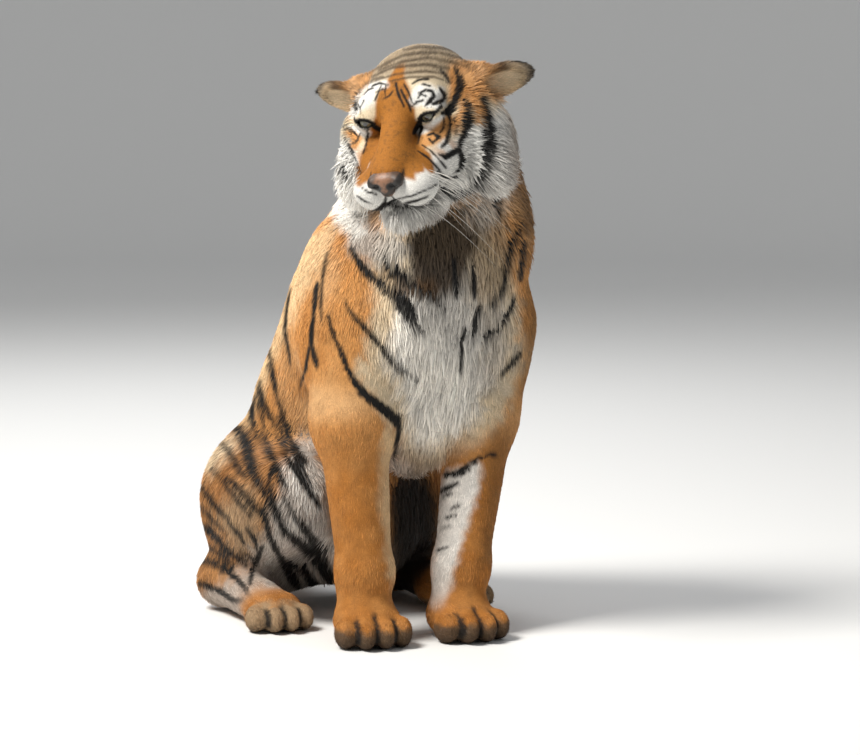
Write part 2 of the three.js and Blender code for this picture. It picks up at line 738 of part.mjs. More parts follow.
// ---------------------------------------------------------------- nodes
const ORANGE = 0xc9823c;
const CREAM = 0xe9dfcf;
const DARK = 0x1d1712;
const AMBER = 0xb59a5a;
const TAN = 0xa8705c;
const FUR = 0.9; // roughness
const LEATHER = 0.5;
const MOIST = 0.15;

const tiger = new THREE.Group();

// Folds away the tiny edges that cuts leave, where the triangles round an edge allow it.
const TINY_EDGE = 0.02;
function withoutTinyEdges({ points, triangles }) {
  const isTiny = ([a, b]) => a < b && Math.hypot(...minus(points[a], points[b])) < TINY_EDGE;
  const besides = (v, other) => {
    const near = triangles.filter((corners) => corners.includes(v)).flat();
    return new Set(near.filter((n) => n !== v && n !== other));
  };
  const folds = ([a, b]) => [...besides(a, b)].filter((v) => besides(b, a).has(v)).length === 2;
  for (;;) {
    const edges = triangles.flatMap(([a, b, c]) => [[a, b], [b, c], [c, a]]);
    const edge = edges.filter(isTiny).find(folds);
    if (!edge) return { points, triangles };
    const [kept, gone] = edge;
    triangles = triangles.map((corners) => corners.map((v) => (v === gone ? kept : v)));
    triangles = triangles.filter((corners) => new Set(corners).size === 3);
  }
}

// Where two folds of a surface only just touch, each moves back towards its own neighbours.
const TOUCHING = 0.01;
const DRAW_BACK = 0.06;
function withoutTouching({ points, triangles }) {
  const places = new Map();
  for (const v of new Set(triangles.flat())) {
    const key = points[v].map((value) => Math.round(value / TOUCHING)).join();
    places.set(key, [...(places.get(key) ?? []), v]);
  }
  const apart = [...points];
  for (const v of [...places.values()].filter((group) => group.length > 1).flat()) {
    const near = triangles.filter((corners) => corners.includes(v)).flat();
    const mean = [0, 1, 2].map((axis) => near.reduce((sum, n) => sum + points[n][axis], 0) / near.length);
    apart[v] = along(points[v], unit(minus(mean, points[v])), DRAW_BACK);
  }
  return { points: apart, triangles };
}

function add(name, solid, colour, roughness = FUR) {
  const folded = withoutTinyEdges(pointsOf(largest(solid)));
  const { points, triangles } = pointsOf(largest(toSolid(withoutTouching(folded))));
  const geometry = new THREE.BufferGeometry();
  geometry.setAttribute("position", new THREE.Float32BufferAttribute(points.flat(), 3));
  geometry.setIndex(triangles.flat());
  geometry.computeVertexNormals();
  const material = new THREE.MeshStandardMaterial({ color: colour, roughness, metalness: 0 });
  const mesh = new THREE.Mesh(geometry, material);
  mesh.name = name;
  tiger.add(mesh);
  return mesh;
}

// A round bar along a curve through some points.
function bar(points, radius, sides = 6) {
  const path = new THREE.CatmullRomCurve3(points.map((p) => new THREE.Vector3(...p)));
  const section = new THREE.Shape();
  for (let i = 0; i < sides; i++) {
    const angle = (i / sides) * Math.PI * 2;
    const [x, y] = [radius * Math.cos(angle), radius * Math.sin(angle)];
    if (i) section.lineTo(x, y);
    else section.moveTo(x, y);
  }
  const steps = (points.length - 1) * 2;
  return solidOf(new THREE.ExtrudeGeometry(section, { steps, bevelEnabled: false, extrudePath: path }));
}

// ---------------- locks of the head, neck and torso
const inHead = (point) => moved(HEAD, point);
const headTurn = (direction) => minus(inHead(direction), HEAD_AT);
const circle = (degrees) => [Math.sin(radians(degrees)), Math.cos(radians(degrees))];
const mix = THREE.MathUtils.lerp;

// Side whiskers: from below each ear round to the underside of the jaw, swept back and down.
const cheekLocks = SIDES.flatMap(({ sign }) =>
  rowsOfLocks({
    rows: 3,
    each: 6,
    seed: 20 + sign,
    ray: (across, down) => {
      const [up, out] = circle(mix(26, -76, across));
      const back = mix(-26, 44, down);
      return [inHead([sign * 260 * out, back, -25 + 260 * up]), inHead([0, back, -25])];
    },
    flow: (across) => headTurn([sign * mix(0.3, 0.1, across), mix(0.7, 0.35, across), mix(-0.7, -1, across)]),
    sizes: (across, down) => ({
      length: mix(84, 98, across),
      width: 52,
      lift: mix(9, 19, down),
      loose: 12,
      droop: 0.35,
    }),
  }),
);

// The beard hangs from the chin and the edges of the jaw.
const beardLocks = rowsOfLocks({
  rows: 3,
  each: 6,
  seed: 31,
  ray: (across, down) => {
    const [x, y] = circle(mix(-80, 80, across));
    const reach = mix(96, 34, down);
    const place = [reach * x, -84 - reach * y];
    return [inHead([...place, -260]), inHead([place[0] * 0.6, place[1] * 0.85, -70])];
  },
  flow: (across) => [0.2 * (across - 0.5), 0.1, -1],
  sizes: (_, down) => ({ length: mix(56, 72, down), width: 38, lift: 0, loose: 60 }),
});

// Hair stands out least at the sides of the neck and the chest.
const fullest = (across, middle, sides) => mix(middle, sides, (2 * across - 1) ** 2);

// The neck, all round its front and sides.
const neckLocks = rowsOfLocks({
  rows: 3,
  each: 6,
  seed: 41,
  ray: (across, down) => {
    const [x, y] = circle(mix(-64, 106, across));
    const height = 746 - 75 * y + mix(112, 26, down);
    const centre = [MIDLINE + 14, -262];
    return [
      [centre[0] + 400 * x, centre[1] - 400 * y, height],
      [...centre, height],
    ];
  },
  flow: (across) => [0.2 * (0.5 - across), 0.12, -1],
  sizes: (across) => ({ length: 124, width: 74, lift: fullest(across, 17, 6), loose: 8, droop: 0.3 }),
});

// The chest, down to the fringe that hangs between the forelegs.
const chestLocks = rowsOfLocks({
  rows: 4,
  each: 6,
  seed: 51,
  ray: (across, down) => {
    const [x, y] = circle(mix(-50, 50, across));
    const height = mix(640, 420, down);
    return [
      [MIDLINE + 400 * x, -150 - 400 * y, height],
      [MIDLINE, -150, height],
    ];
  },
  flow: (across) => [0.35 * (0.5 - across), 0, -1],
  sizes: (across, down) => ({
    length: 130,
    width: 66,
    lift: fullest(across, 19, 5),
    loose: fullest(across, mix(6, 40, down), 4),
  }),
});

// Long hair of the lower flank, between the foreleg and the haunch.
const bellyLocks = SIDES.flatMap(({ sign }) =>
  rowsOfLocks({
    rows: 2,
    each: 3,
    seed: 60 + sign,
    ray: (across, down) => {
      const [y, z] = [mix(-172, -50, across), mix(380, 320, down)];
      return [[MIDLINE + sign * 400, y, z], [MIDLINE, y, z]];
    },
    flow: () => [sign * -0.1, -0.25, -1],
    sizes: () => ({ length: 118, width: 68, lift: 13, loose: 30, droop: 0.2 }),
  }),
);

// ---------------- trunk: plain bodies first, so that each one's locks can be cut clear of the others
const neckBox = [[MIDLINE - 270, -560, 560], [MIDLINE + 270, 60, 1100]];
const neckCore = body(coat, neckBox, 15, 900).intersect(regions.neck).subtract(grown.head);
const torsoBox = [[MIDLINE - 330, -520, -40], [MIDLINE + 330, 420, 900]];
const torsoCore = ["neck", "fore_right", "fore_left", "hind_right", "hind_left"].reduce(
  (solid, part) => solid.subtract(grown[part]),
  body(coat, torsoBox, 17, 1500).intersect(floor).subtract(side(PLANES.tail, -GAP)),
);
const clearOf = (solid, others) => others.reduce((rest, other) => rest.subtract(other), solid);

// ---------------- head
const NOSE_FORMS = [
  ball("nose", [0, -217, -38], [33, 23, 18], 1, { frame: HEAD }), // pad
  ball("nose", [0, -218, -54], [15, 18, 16], 12, { frame: HEAD }), // wedge above the lip
];

function around(point, reach) {
  return [point.map((v) => v - reach), point.map((v) => v + reach)];
}

// The line of the mouth, from the middle to a corner under the cheek, and the crease from the nose.
const MOUTH_CORE = [0, -120, -84];
const MOUTH_SPREAD = 76; // degrees from the middle to each corner
const LIP_STEPS = 6; // to each corner
const LIP_HALF = 3.6; // half the width of the line
const CREASE_HALF = 3.2;
function mouthCut() {
  const lipAt = (angle) => {
    const share = Math.abs(angle) / MOUTH_SPREAD;
    const drop = -85 - 9 * Math.sin(share * Math.PI) + 4 * share ** 3;
    const [x, y] = circle(angle);
    const inside = [MOUTH_CORE[0], MOUTH_CORE[1], drop];
    return onCoat(inHead([160 * x, MOUTH_CORE[1] - 160 * y, drop]), inHead(inside));
  };
  const line = Array.from({ length: 2 * LIP_STEPS + 1 }, (_, i) => lipAt(MOUTH_SPREAD * (i / LIP_STEPS - 1)));
  const crease = [-60, -72, -86].map((z) => onCoat(inHead([0, -280, z]), inHead([0, -120, z])));
  return bar(line, LIP_HALF).add(bar(crease, CREASE_HALF));
}

// The gap between the lids: an almond, cut from the eyeball outwards, its outer corner raised.
const LID_SLANT = 16; // degrees
function lidOpening(sign) {
  const [width, height, inner, outer] = [20, 9, -4, 1];
  const almond = new THREE.Shape();
  almond.moveTo(-width, inner);
  almond.quadraticCurveTo(-width * 0.3, height * 1.3, width, outer);
  almond.quadraticCurveTo(width * 0.2, -height * 1.7, -width, inner);
  const prism = new THREE.ExtrudeGeometry(almond, { depth: 60, bevelEnabled: false, curveSegments: 4 });
  const slant = frameOf([0, 0, 0], [0, -LID_SLANT, 0]);
  const forward = frameOf([0, 0, 0], [90, 0, 0]);
  const place = new THREE.Matrix4().makeTranslation(sign * EYE_AT[0], EYE_AT[1] - 5, EYE_AT[2]);
  const mirror = new THREE.Matrix4().makeScale(sign, 1, 1);
  return solidOf(prism, HEAD.clone().multiply(place).multiply(mirror).multiply(slant).multiply(forward));
}

const EYE_SIDES = 14;
const EYE_RINGS = 8;
function eyeball(sign, radius) {
  const at = inHead([sign * EYE_AT[0], EYE_AT[1], EYE_AT[2]]);
  const sphere = new THREE.SphereGeometry(radius, EYE_SIDES, EYE_RINGS);
  return solidOf(sphere, new THREE.Matrix4().makeTranslation(...at));
}

function nostril(sign, box) {
  const place = { turn: [0, sign * 25, sign * -28], frame: HEAD };
  return body(ball("nose", [sign * 18, -238, -45], [9, 14, 5.5], 1, place).distance, box, 3, 40);
}

const noseBox = around(inHead([0, -217, -42]), 52);
const nose = body(melt(NOSE_FORMS), noseBox, 4, 150);
add("nose", clearOf(nose, SIDES.map(({ sign }) => nostril(sign, noseBox))), TAN, LEATHER);

const face = new THREE.Vector3(...inHead([0, -150, -20]));
const faceFirst = (p) => (face.distanceTo(new THREE.Vector3(...p)) < 135 ? 7 : 1);
const headCore = body(coat, around(HEAD_AT, 275), 7, 2150, faceFirst).intersect(regions.head);
const headHair = [...cheekLocks, ...beardLocks];
const trunkAway = [grow(neckCore, HAIR_GAP), grow(torsoCore, HAIR_GAP)];
const headLocks = clearOf(solidLocks(headHair), trunkAway);
let head = headCore.add(headLocks).subtract(grow(nose)).subtract(mouthCut());
for (const { name, sign } of SIDES) {
  add(`eye_${name}`, eyeball(sign, EYE_RADIUS), AMBER, MOIST);
  head = head.subtract(eyeball(sign, EYE_RADIUS + SOCKET_GAP)).subtract(lidOpening(sign));
}
add("head", head, ORANGE);

// An ear is a thin cup that opens to the front and down.
const awayFromHead = [grow(headCore, HAIR_GAP), grownLocks(headHair)];
for (const { name, sign } of SIDES) {
  const turn = [EAR_TURN[0], sign * -EAR_TURN[1], sign * EAR_TURN[2]];
  const at = [sign * EAR_AT[0], EAR_AT[1], EAR_AT[2]];
  const [length, thickness, width] = EAR_RADII;
  const shell = ball("ear", at, EAR_RADII, 1, { turn, frame: HEAD });
  const opening = [at[0], at[1] - thickness * 0.95, at[2] - thickness * 0.35];
  const cup = ball("ear", opening, [length * 0.84, thickness, width * 0.78], 1, { turn, frame: HEAD });
  const field = (x, y, z) => Math.max(shell.distance(x, y, z), -cup.distance(x, y, z));
  const ear = body(field, around(inHead(at), 75), 4.5, 300);
  add(`ear_${name}`, clearOf(ear, awayFromHead), DARK);
}

// ---------------- neck and torso
const neckHair = clearOf(solidLocks(neckLocks), [...awayFromHead, trunkAway[1]]);
add("neck", neckCore.add(neckHair), CREAM);
const awayFromNeck = [trunkAway[0], grownLocks(neckLocks), ...awayFromHead, ...legsAway];

// The torso is in two, so that each half is a full, rounded mass.
const torsoHair = clearOf(solidLocks([...chestLocks, ...bellyLocks]), awayFromNeck);
const torso = torsoCore.add(torsoHair);
add("torso_front", torso.intersect(side(PLANES.waist)), ORANGE);
add("torso_rear", torso.subtract(side(PLANES.waist, -GAP)), ORANGE);

// ---------------- legs
for (const { name, sign } of SIDES) {
  const { wrist, forepaw, hindpaw } = LEGS[name];
  const wristPlane = { point: [wrist[0], wrist[1], WRIST_CUT], normal: [0, 0.28, 1] };
  const foreBox = legBox(sign, LEG_INNER, FORE_SPAN, LEG_FLOOR, SHOULDER_CUT + 80);
  const foreleg = body(coat, foreBox, 12, 1250).intersect(regions[`fore_${name}`]);
  add(`foreleg_${name}`, foreleg.intersect(side(wristPlane)), ORANGE);
  const pawBox = [[forepaw[0] - 120, forepaw[1] - 145, -30], [forepaw[0] + 120, forepaw[1] + 140, 150]];
  const paw = body(coat, pawBox, 8, 600).intersect(floor).subtract(side(wristPlane, -GAP));
  add(`forepaw_${name}`, paw.intersect(regions[`fore_${name}`]), ORANGE);

  const ankle = { point: [hindpaw[0], hindpaw[1] + 62, 40], normal: [0, -1, -0.25] };
  const footCut = side(ankle, -GAP).intersect(side(PLANES.shin, -GAP));
  const hindBox = legBox(sign, LEG_INNER, HIND_SPAN, LEG_FLOOR, HIND_TOP);
  const haunch = body(coat, hindBox, 14, 1000).intersect(floor).intersect(regions[`hind_${name}`]);
  add(`hindleg_${name}`, haunch.subtract(footCut), ORANGE);
  const footBox = [[hindpaw[0] - 110, hindpaw[1] - 130, -30], [hindpaw[0] + 110, hindpaw[1] + 110, 130]];
  const foot = body(coat, footBox, 8, 600).intersect(floor).intersect(side(ankle));
  add(`hindpaw_${name}`, foot.intersect(side(PLANES.shin)).intersect(regions[`hind_${name}`]), ORANGE);
}

// ---------------- tail, in three lengths
{
  const whole = body(coat, [[-90, 180, -40], [560, 740, 240]], 12, 1000)
    .intersect(floor)
    .intersect(side(PLANES.tail));
  const [bend, end] = [side(PLANES.tailBend), side(PLANES.tailEnd)];
  add("tail_base", whole.subtract(side(PLANES.tailBend, -GAP)), ORANGE);
  add("tail_middle", whole.intersect(bend).subtract(side(PLANES.tailEnd, -GAP)), ORANGE);
  add("tail_tip", whole.intersect(end), DARK);
}

// The origin is in the middle of the outline seen from above, on the floor.
const box = new THREE.Box3().setFromObject(tiger);
const middle = box.getCenter(new THREE.Vector3());
for (const mesh of tiger.children) mesh.position.set(-middle.x, -middle.y, -box.min.z);

export default tiger;
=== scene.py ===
"""A life-size Siberian tiger, sitting upright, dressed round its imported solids.

The skin is one surface, taken from the same soft forms as the solids. The coat grows on it as thin
mesh tufts that follow the lie of the fur. Skin and coat share one set of painted markings.
"""

import math

import bpy
import numpy as np
from bpy.props import FloatProperty, FloatVectorProperty, IntProperty, PointerProperty
from mathutils import Matrix, Vector


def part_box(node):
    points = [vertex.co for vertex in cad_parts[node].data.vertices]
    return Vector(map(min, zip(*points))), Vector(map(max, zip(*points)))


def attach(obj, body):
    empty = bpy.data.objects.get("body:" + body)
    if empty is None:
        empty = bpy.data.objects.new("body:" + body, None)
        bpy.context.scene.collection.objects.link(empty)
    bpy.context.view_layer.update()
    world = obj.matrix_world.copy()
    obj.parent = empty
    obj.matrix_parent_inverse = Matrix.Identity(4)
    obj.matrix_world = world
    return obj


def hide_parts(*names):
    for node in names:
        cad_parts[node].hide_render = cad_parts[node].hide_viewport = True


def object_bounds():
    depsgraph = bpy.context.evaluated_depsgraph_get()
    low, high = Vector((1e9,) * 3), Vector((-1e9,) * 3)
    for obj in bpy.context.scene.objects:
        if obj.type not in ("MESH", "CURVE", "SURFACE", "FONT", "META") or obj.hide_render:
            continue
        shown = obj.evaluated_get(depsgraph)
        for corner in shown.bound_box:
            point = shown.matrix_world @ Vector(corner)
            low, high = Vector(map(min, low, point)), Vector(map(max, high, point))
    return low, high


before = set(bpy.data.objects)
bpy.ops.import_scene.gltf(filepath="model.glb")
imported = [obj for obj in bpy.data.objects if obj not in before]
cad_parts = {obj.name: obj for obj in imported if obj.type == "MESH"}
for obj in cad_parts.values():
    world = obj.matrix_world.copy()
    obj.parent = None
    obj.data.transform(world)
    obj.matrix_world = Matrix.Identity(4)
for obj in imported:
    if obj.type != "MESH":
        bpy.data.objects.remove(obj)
CAD_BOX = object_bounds()

bl_info = {
    "name": "Sitting Siberian tiger",
    "version": (1, 0, 0),
    "blender": (4, 5, 0),
    "location": "3D View > Sidebar > Tiger",
    "description": "Skin, coat, eyes, nose, whiskers and stage of a life-size sitting tiger",
    "category": "Object",
}

# ---------------- driving sizes, millimetres
MM = 0.001
MIDLINE = 20
SPINE_TILT = 53
HEAD_AT = (-40, -370, 956)
HEAD_TURN = (17, -7, -49)
EYE_AT = (60, -97, 36)
EYE_RADIUS = 19
EAR_AT = (153, 44, 43)
EAR_RADII = (58, 17, 36)
EAR_TURN = (22, 10, 16)
HIND_TOES_OUT = 12
FLOOR_CLEAR = 0.6
SIDES = (("right", -1), ("left", 1))
LEGS = {
    "right": dict(
        elbow=(-140, -296, 400), wrist=(-128, -318, 128), forepaw=(-134, -344, 0), foreturn=-18,
        hip=(-100, 110, 225), knee=(-160, -80, 235), heel=(-196, 118, 56), hindpaw=(-208, -112, 0),
    ),
    "left": dict(
        elbow=(126, -300, 400), wrist=(60, -346, 128), forepaw=(46, -372, 0), foreturn=-6,
        hip=(140, 115, 225), knee=(192, -62, 235), heel=(200, 138, 56), hindpaw=(186, -88, 0),
    ),
}
TAIL_POINTS = (
    (25, 250, 130), (38, 330, 85), (50, 405, 48), (108, 545, 40), (240, 640, 38),
    (375, 618, 37), (458, 525, 36), (474, 420, 34), (448, 330, 32),
)
TAIL_RADII = (62, 54, 48, 44, 42, 41, 40, 38, 33)
TAIL_STEPS = 18


def turned(turn):
    """Rotation by three angles in degrees: about y first, then x, then z."""
    x, y, z = np.radians(turn)
    about_x = np.array([[1, 0, 0], [0, math.cos(x), -math.sin(x)], [0, math.sin(x), math.cos(x)]])
    about_y = np.array([[math.cos(y), 0, math.sin(y)], [0, 1, 0], [-math.sin(y), 0, math.cos(y)]])
    about_z = np.array([[math.cos(z), -math.sin(z), 0], [math.sin(z), math.cos(z), 0], [0, 0, 1]])
    return about_z @ about_x @ about_y


class Place:
    """A frame within the tiger's own frame."""

    def __init__(self, at=(0, 0, 0), turn=(0, 0, 0)):
        self.at = np.array(at, float)
        self.axes = turned(turn)

    def out(self, point):
        return np.asarray(point, float) @ self.axes.T + self.at

    def into(self, point):
        return (np.asarray(point, float) - self.at) @ self.axes

    def turn_out(self, direction):
        return np.asarray(direction, float) @ self.axes.T


WORLD = Place()
HEAD = Place(HEAD_AT, HEAD_TURN)


def centre_of(node):
    low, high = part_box(node)
    return np.array((low + high) / 2)


def on_side(place, sign):
    """A place given for the left side, or its mirror image on the right."""
    return np.array((sign * place[0], place[1], place[2]))


# The row's frame is the tiger's frame moved level: the left eyeball shows how far.
SHIFT = centre_of("eye_left") - HEAD.out(EYE_AT) * MM
SHIFT[2] = 0


def unit(vectors):
    vectors = np.asarray(vectors, float)
    return vectors / np.maximum(np.linalg.norm(vectors, axis=-1, keepdims=True), 1e-9)


def soft(value, low, high):
    """0 below low, 1 above high, smooth between."""
    t = np.clip((value - low) / (high - low), 0, 1)
    return t * t * (3 - 2 * t)


# ---------------- soft forms
FAR = 1e3  # stands for too far away to matter
CULL = 100  # a form further than this from a point has no say there
BATCH = 20000  # points measured at a time, so that far forms are passed over together


class Form:
    """One ball or tapered bone. depth is how far the skin lies inside it, lie the way its hair runs."""

    def __init__(self, part, centre, reach, distance, blend, depth, lie):
        self.part, self.centre, self.reach = part, np.array(centre, float), reach
        self.distance, self.blend, self.depth, self.lie = distance, blend, depth, lie


def egg_distance(q, radii):
    """About how far points are outside an egg. q is where they lie, counted in its radii."""
    near = np.sqrt((q * q).sum(1))
    slope = np.sqrt(((q / radii) ** 2).sum(1))
    return near * (near - 1) / np.maximum(slope, 1e-6)


def line_distance(points, a, b):
    """How far along the line from a to b each point lies, from 0 to 1, and how far from it."""
    along = b - a
    t = np.clip((points - a) @ along / (along @ along), 0, 1)
    return t, np.linalg.norm(points - a - t[:, None] * along, axis=1)


def tube_distance(points, path, radius):
    best = np.full(len(points), FAR)
    for a, b in zip(path[:-1], path[1:]):
        best = np.minimum(best, line_distance(points, a, b)[1])
    return best - radius


def ball(part, at, radii, blend, depth, lie, turn=(0, 0, 0), place=WORLD):
    centre = place.out(at)
    axes = place.axes @ turned(turn)
    radii = np.array(radii, float)

    def distance(points):
        return egg_distance((points - centre) @ axes / radii, radii)

    return Form(part, centre, radii.max(), distance, blend, depth, lie)


def bone(part, start, end, start_radius, end_radius, blend, depth, lie, place=WORLD):
    a, b = place.out(start), place.out(end)

    def distance(points):
        t, away = line_distance(points, a, b)
        return away - start_radius - t * (end_radius - start_radius)

    reach = np.linalg.norm(b - a) / 2 + max(start_radius, end_radius)
    return Form(part, (a + b) / 2, reach, distance, blend, depth, lie)


def reached(forms, points, margin):
    """Each form near the points, which of them are within a margin of it, and how far outside."""
    low, high = points.min(0), points.max(0)
    for form in forms:
        limit = (form.reach + margin) ** 2
        gap = np.maximum(np.maximum(low - form.centre, form.centre - high), 0)
        if gap @ gap >= limit:
            continue
        near = np.flatnonzero(((points - form.centre) ** 2).sum(1) < limit)
        if len(near):
            yield form, near, form.distance(points[near]) + form.depth


def joined(a, b, blend):
    """Smooth union of two fields, each negative inside."""
    share = np.maximum(blend - np.abs(a - b), 0) / blend
    return np.minimum(a, b) - share * share * blend / 4


def carve(d, tool, blend):
    """Cuts a shape out of the field with a rounded edge. tool is negative inside the cut."""
    return -joined(-d, tool, blend)


def melt(forms, points):
    """Smooth union of the forms, less the depth of the coat."""
    d = np.full(len(points), FAR)
    for form, near, new in reached(forms, points, CULL):
        d[near] = joined(d[near], new, form.blend)
    return d


# Each lie is either ("to", direction) or ("from", point): hair that runs away from that point.
DOWN = ("to", (0, 0.12, -1))
BACKWARDS = ("to", (0, 0.5, -0.85))
FROM_NOSE = ("from", tuple(HEAD.out((0, -205, -20))))


def torso_forms():
    tilt = (-SPINE_TILT, 0, 0)
    forms = [
        ball("back", (MIDLINE, -125, 570), (186, 250, 200), 1, 9, BACKWARDS, tilt),
        ball("back", (MIDLINE, 25, 385), (180, 240, 185), 80, 9, BACKWARDS, tilt),
        ball("rump", (MIDLINE, 125, 215), (165, 172, 190), 80, 9, BACKWARDS),
        ball("belly", (MIDLINE, -10, 225), (146, 150, 165), 60, 9, DOWN),
        ball("chest", (MIDLINE, -280, 545), (142, 106, 184), 70, 12, DOWN),
        ball("chest", (MIDLINE - 15, -258, 405), (80, 82, 106), 60, 10, DOWN),
        ball("back", (MIDLINE + 18, -150, 700), (98, 118, 100), 90, 9, BACKWARDS),
    ]
    for _, sign in SIDES:
        outward = ("to", (sign * 0.15, 0.25, -1))
        forms += [
            ball("shoulder", (MIDLINE + sign * 146, -232, 590), (80, 128, 190), 60, 8, outward),
            ball("chest", (MIDLINE + sign * 72, -318, 590), (67, 73, 116), 50, 11, DOWN),
        ]
    return forms


def neck_forms():
    around = ("from", tuple(HEAD.out((0, -120, 60))))
    low = (MIDLINE + 36, -214, 715)
    high = (MIDLINE + 28, -281, 885)
    return [
        bone("neck", low, high, 151, 139, 80, 8, around),
        ball("neck", (MIDLINE + 4, -335, 720), (104, 84, 122), 70, 12, DOWN),
        ball("neck", (MIDLINE + 102, -282, 755), (98, 98, 128), 70, 8, around),
    ]


def head_forms():
    lie = FROM_NOSE

    def soft_ball(part, at, radii, blend, depth, way=lie):
        return ball(part, at, radii, blend, depth, way, place=HEAD)

    down = ("to", tuple(HEAD.turn_out((0, 0.35, -1))))
    forms = [
        soft_ball("crown", (0, 28, 38), (102, 110, 90), 40, 6),
        soft_ball("face", (0, -50, 56), (70, 62, 48), 40, 4),
        bone("face", (0, -92, 38), (0, -204, -33), 33, 27, 24, 3, lie, HEAD),
        soft_ball("muzzle", (0, -145, -46), (58, 70, 44), 30, 3),
        soft_ball("beard", (0, -166, -110), (37, 40, 23), 14, 3, down),
        soft_ball("beard", (0, -10, -88), (84, 92, 50), 40, 6, down),
        soft_ball("beard", (0, -120, -116), (48, 46, 26), 24, 5, down),
    ]
    for _, s in SIDES:
        jaw_start, jaw_end = (s * 18, -140, -98), (s * 66, -12, -82)
        sideways = ("to", tuple(HEAD.turn_out((s * 0.75, 0.7, -0.5))))
        drooping = ("to", tuple(HEAD.turn_out((s * 0.6, 0.4, -0.85))))
        forms += [
            soft_ball("face", (s * 46, -78, 62), (34, 30, 20), 20, 3),
            soft_ball("muzzle", (s * 38, -182, -65), (43, 48, 38), 14, 3),
            bone("beard", jaw_start, jaw_end, 25, 42, 26, 5, down, HEAD),
            soft_ball("cheek", (s * 82, -20, -20), (58, 76, 66), 30, 5, sideways),
            soft_ball("face", (s * 62, -86, -14), (38, 38, 30), 26, 4),
            soft_ball("face", (s * 54, -96, -48), (38, 48, 34), 30, 4),
            soft_ball("ruff", (s * 103, 28, -52), (44, 52, 82), 30, 6, drooping),
            soft_ball("ruff", (s * 116, -32, -74), (40, 46, 52), 30, 6, drooping),
            soft_ball("lid", (s * 60.5, -98, 36), (26, 22.5, 22.5), 14, 0),
            soft_ball("crown", (s * 108, 34, 50), (44, 30, 34), 30, 5),
        ]
    return forms


def ear_turn(sign):
    return EAR_TURN[0], sign * -EAR_TURN[1], sign * EAR_TURN[2]


def ear_forms():
    forms = []
    for _, s in SIDES:
        lie = ("from", tuple(HEAD.out((s * 70, 40, 40))))
        forms.append(ball("ear", on_side(EAR_AT, s), EAR_RADII, 9, 3, lie, ear_turn(s), HEAD))
    return forms


# Place and radii of an outer and of an inner toe, in the paw's frame
FORE_TOES = ((51, -42, 28), (23, 37, 31)), ((18, -58, 28), (23, 41, 31))
HIND_TOES = ((46, -38, 25), (21, 34, 27)), ((16, -54, 25), (21, 38, 27))


def fore_place(leg):
    return Place(leg["forepaw"], (0, 0, leg["foreturn"]))


def hind_place(leg, sign):
    return Place(leg["hindpaw"], (0, 0, sign * HIND_TOES_OUT))


def toe_forms(toes, place, lie):
    outer, inner = toes
    forms = []
    for sign, (at, radii) in ((-1, outer), (-1, inner), (1, inner), (1, outer)):
        forms.append(ball("toe", on_side(at, sign), radii, 11, 3, lie, place=place))
    return forms


def fore_forms(name, sign):
    leg = LEGS[name]
    elbow, wrist, paw = leg["elbow"], leg["wrist"], leg["forepaw"]
    shoulder = (MIDLINE + sign * 146, -270, 560)
    place = fore_place(leg)
    forward = ("to", tuple(place.turn_out((0, -1, -0.6))))
    behind_elbow = (elbow[0], elbow[1] + 34, elbow[2] + 6)
    forms = [
        bone("foreleg", shoulder, elbow, 82, 74, 60, 7, DOWN),
        bone("foreleg", elbow, wrist, 70, 54, 40, 6, DOWN),
        ball("foreleg", behind_elbow, (54, 54, 70), 40, 6, DOWN),
        bone("foreleg", wrist, (paw[0], paw[1] + 22, 52), 54, 52, 30, 5, DOWN),
        ball("paw", (0, 2, 38), (64, 68, 46), 26, 4, forward, place=place),
    ]
    return forms + toe_forms(FORE_TOES, place, forward)


def hind_forms(name, sign):
    leg = LEGS[name]
    hip, knee, heel, paw = leg["hip"], leg["knee"], leg["heel"], leg["hindpaw"]
    place = hind_place(leg, sign)
    thigh = ("to", (sign * 0.1, 0.35, -1))
    shank = ("to", (0, 0.6, -1))
    foot = ("to", (0, -1, -0.5))
    forward = ("to", tuple(place.turn_out((0, -1, -0.6))))
    forms = [
        bone("haunch", hip, knee, 128, 96, 60, 9, thigh),
        ball("haunch", (hip[0], hip[1] + 20, 165), (118, 125, 160), 60, 9, thigh),
        bone("haunch", knee, heel, 88, 48, 50, 8, shank),
        bone("foot", heel, (paw[0], paw[1] + 60, 44), 48, 46, 30, 5, foot),
        ball("paw", (0, 10, 34), (58, 66, 40), 24, 4, forward, place=place),
    ]
    return forms + toe_forms(HIND_TOES, place, forward)


def smooth_curve(points, count):
    """A Catmull-Rom curve of even speed through the points."""
    knots = np.array(points, float)
    ends = np.vstack([2 * knots[0] - knots[1], knots, 2 * knots[-1] - knots[-2]])
    place = np.linspace(0, len(knots) - 1, count)
    low = np.minimum(place.astype(int), len(knots) - 2)
    t = (place - low)[:, None]
    a, b, c, d = (ends[low + i] for i in range(4))
    cubic = (3 * b - 3 * c + d - a) * t ** 3 + (2 * a - 5 * b + 4 * c - d) * t * t + (c - a) * t
    return b + cubic / 2


def tail_forms():
    route = smooth_curve(TAIL_POINTS, TAIL_STEPS + 1)
    steps, knots = np.linspace(0, 1, TAIL_STEPS + 1), np.linspace(0, 1, len(TAIL_RADII))
    radii = np.interp(steps, knots, TAIL_RADII)
    forms = []
    for i in range(TAIL_STEPS):
        lie = ("to", tuple(route[i + 1] - route[i]))
        blend = 12 if i else 40
        forms.append(bone("tail", route[i], route[i + 1], radii[i], radii[i + 1], blend, 8, lie))
    return forms


BODY = torso_forms() + neck_forms() + head_forms() + ear_forms()
for _name, _sign in SIDES:
    BODY += fore_forms(_name, _sign) + hind_forms(_name, _sign)
BODY += tail_forms()


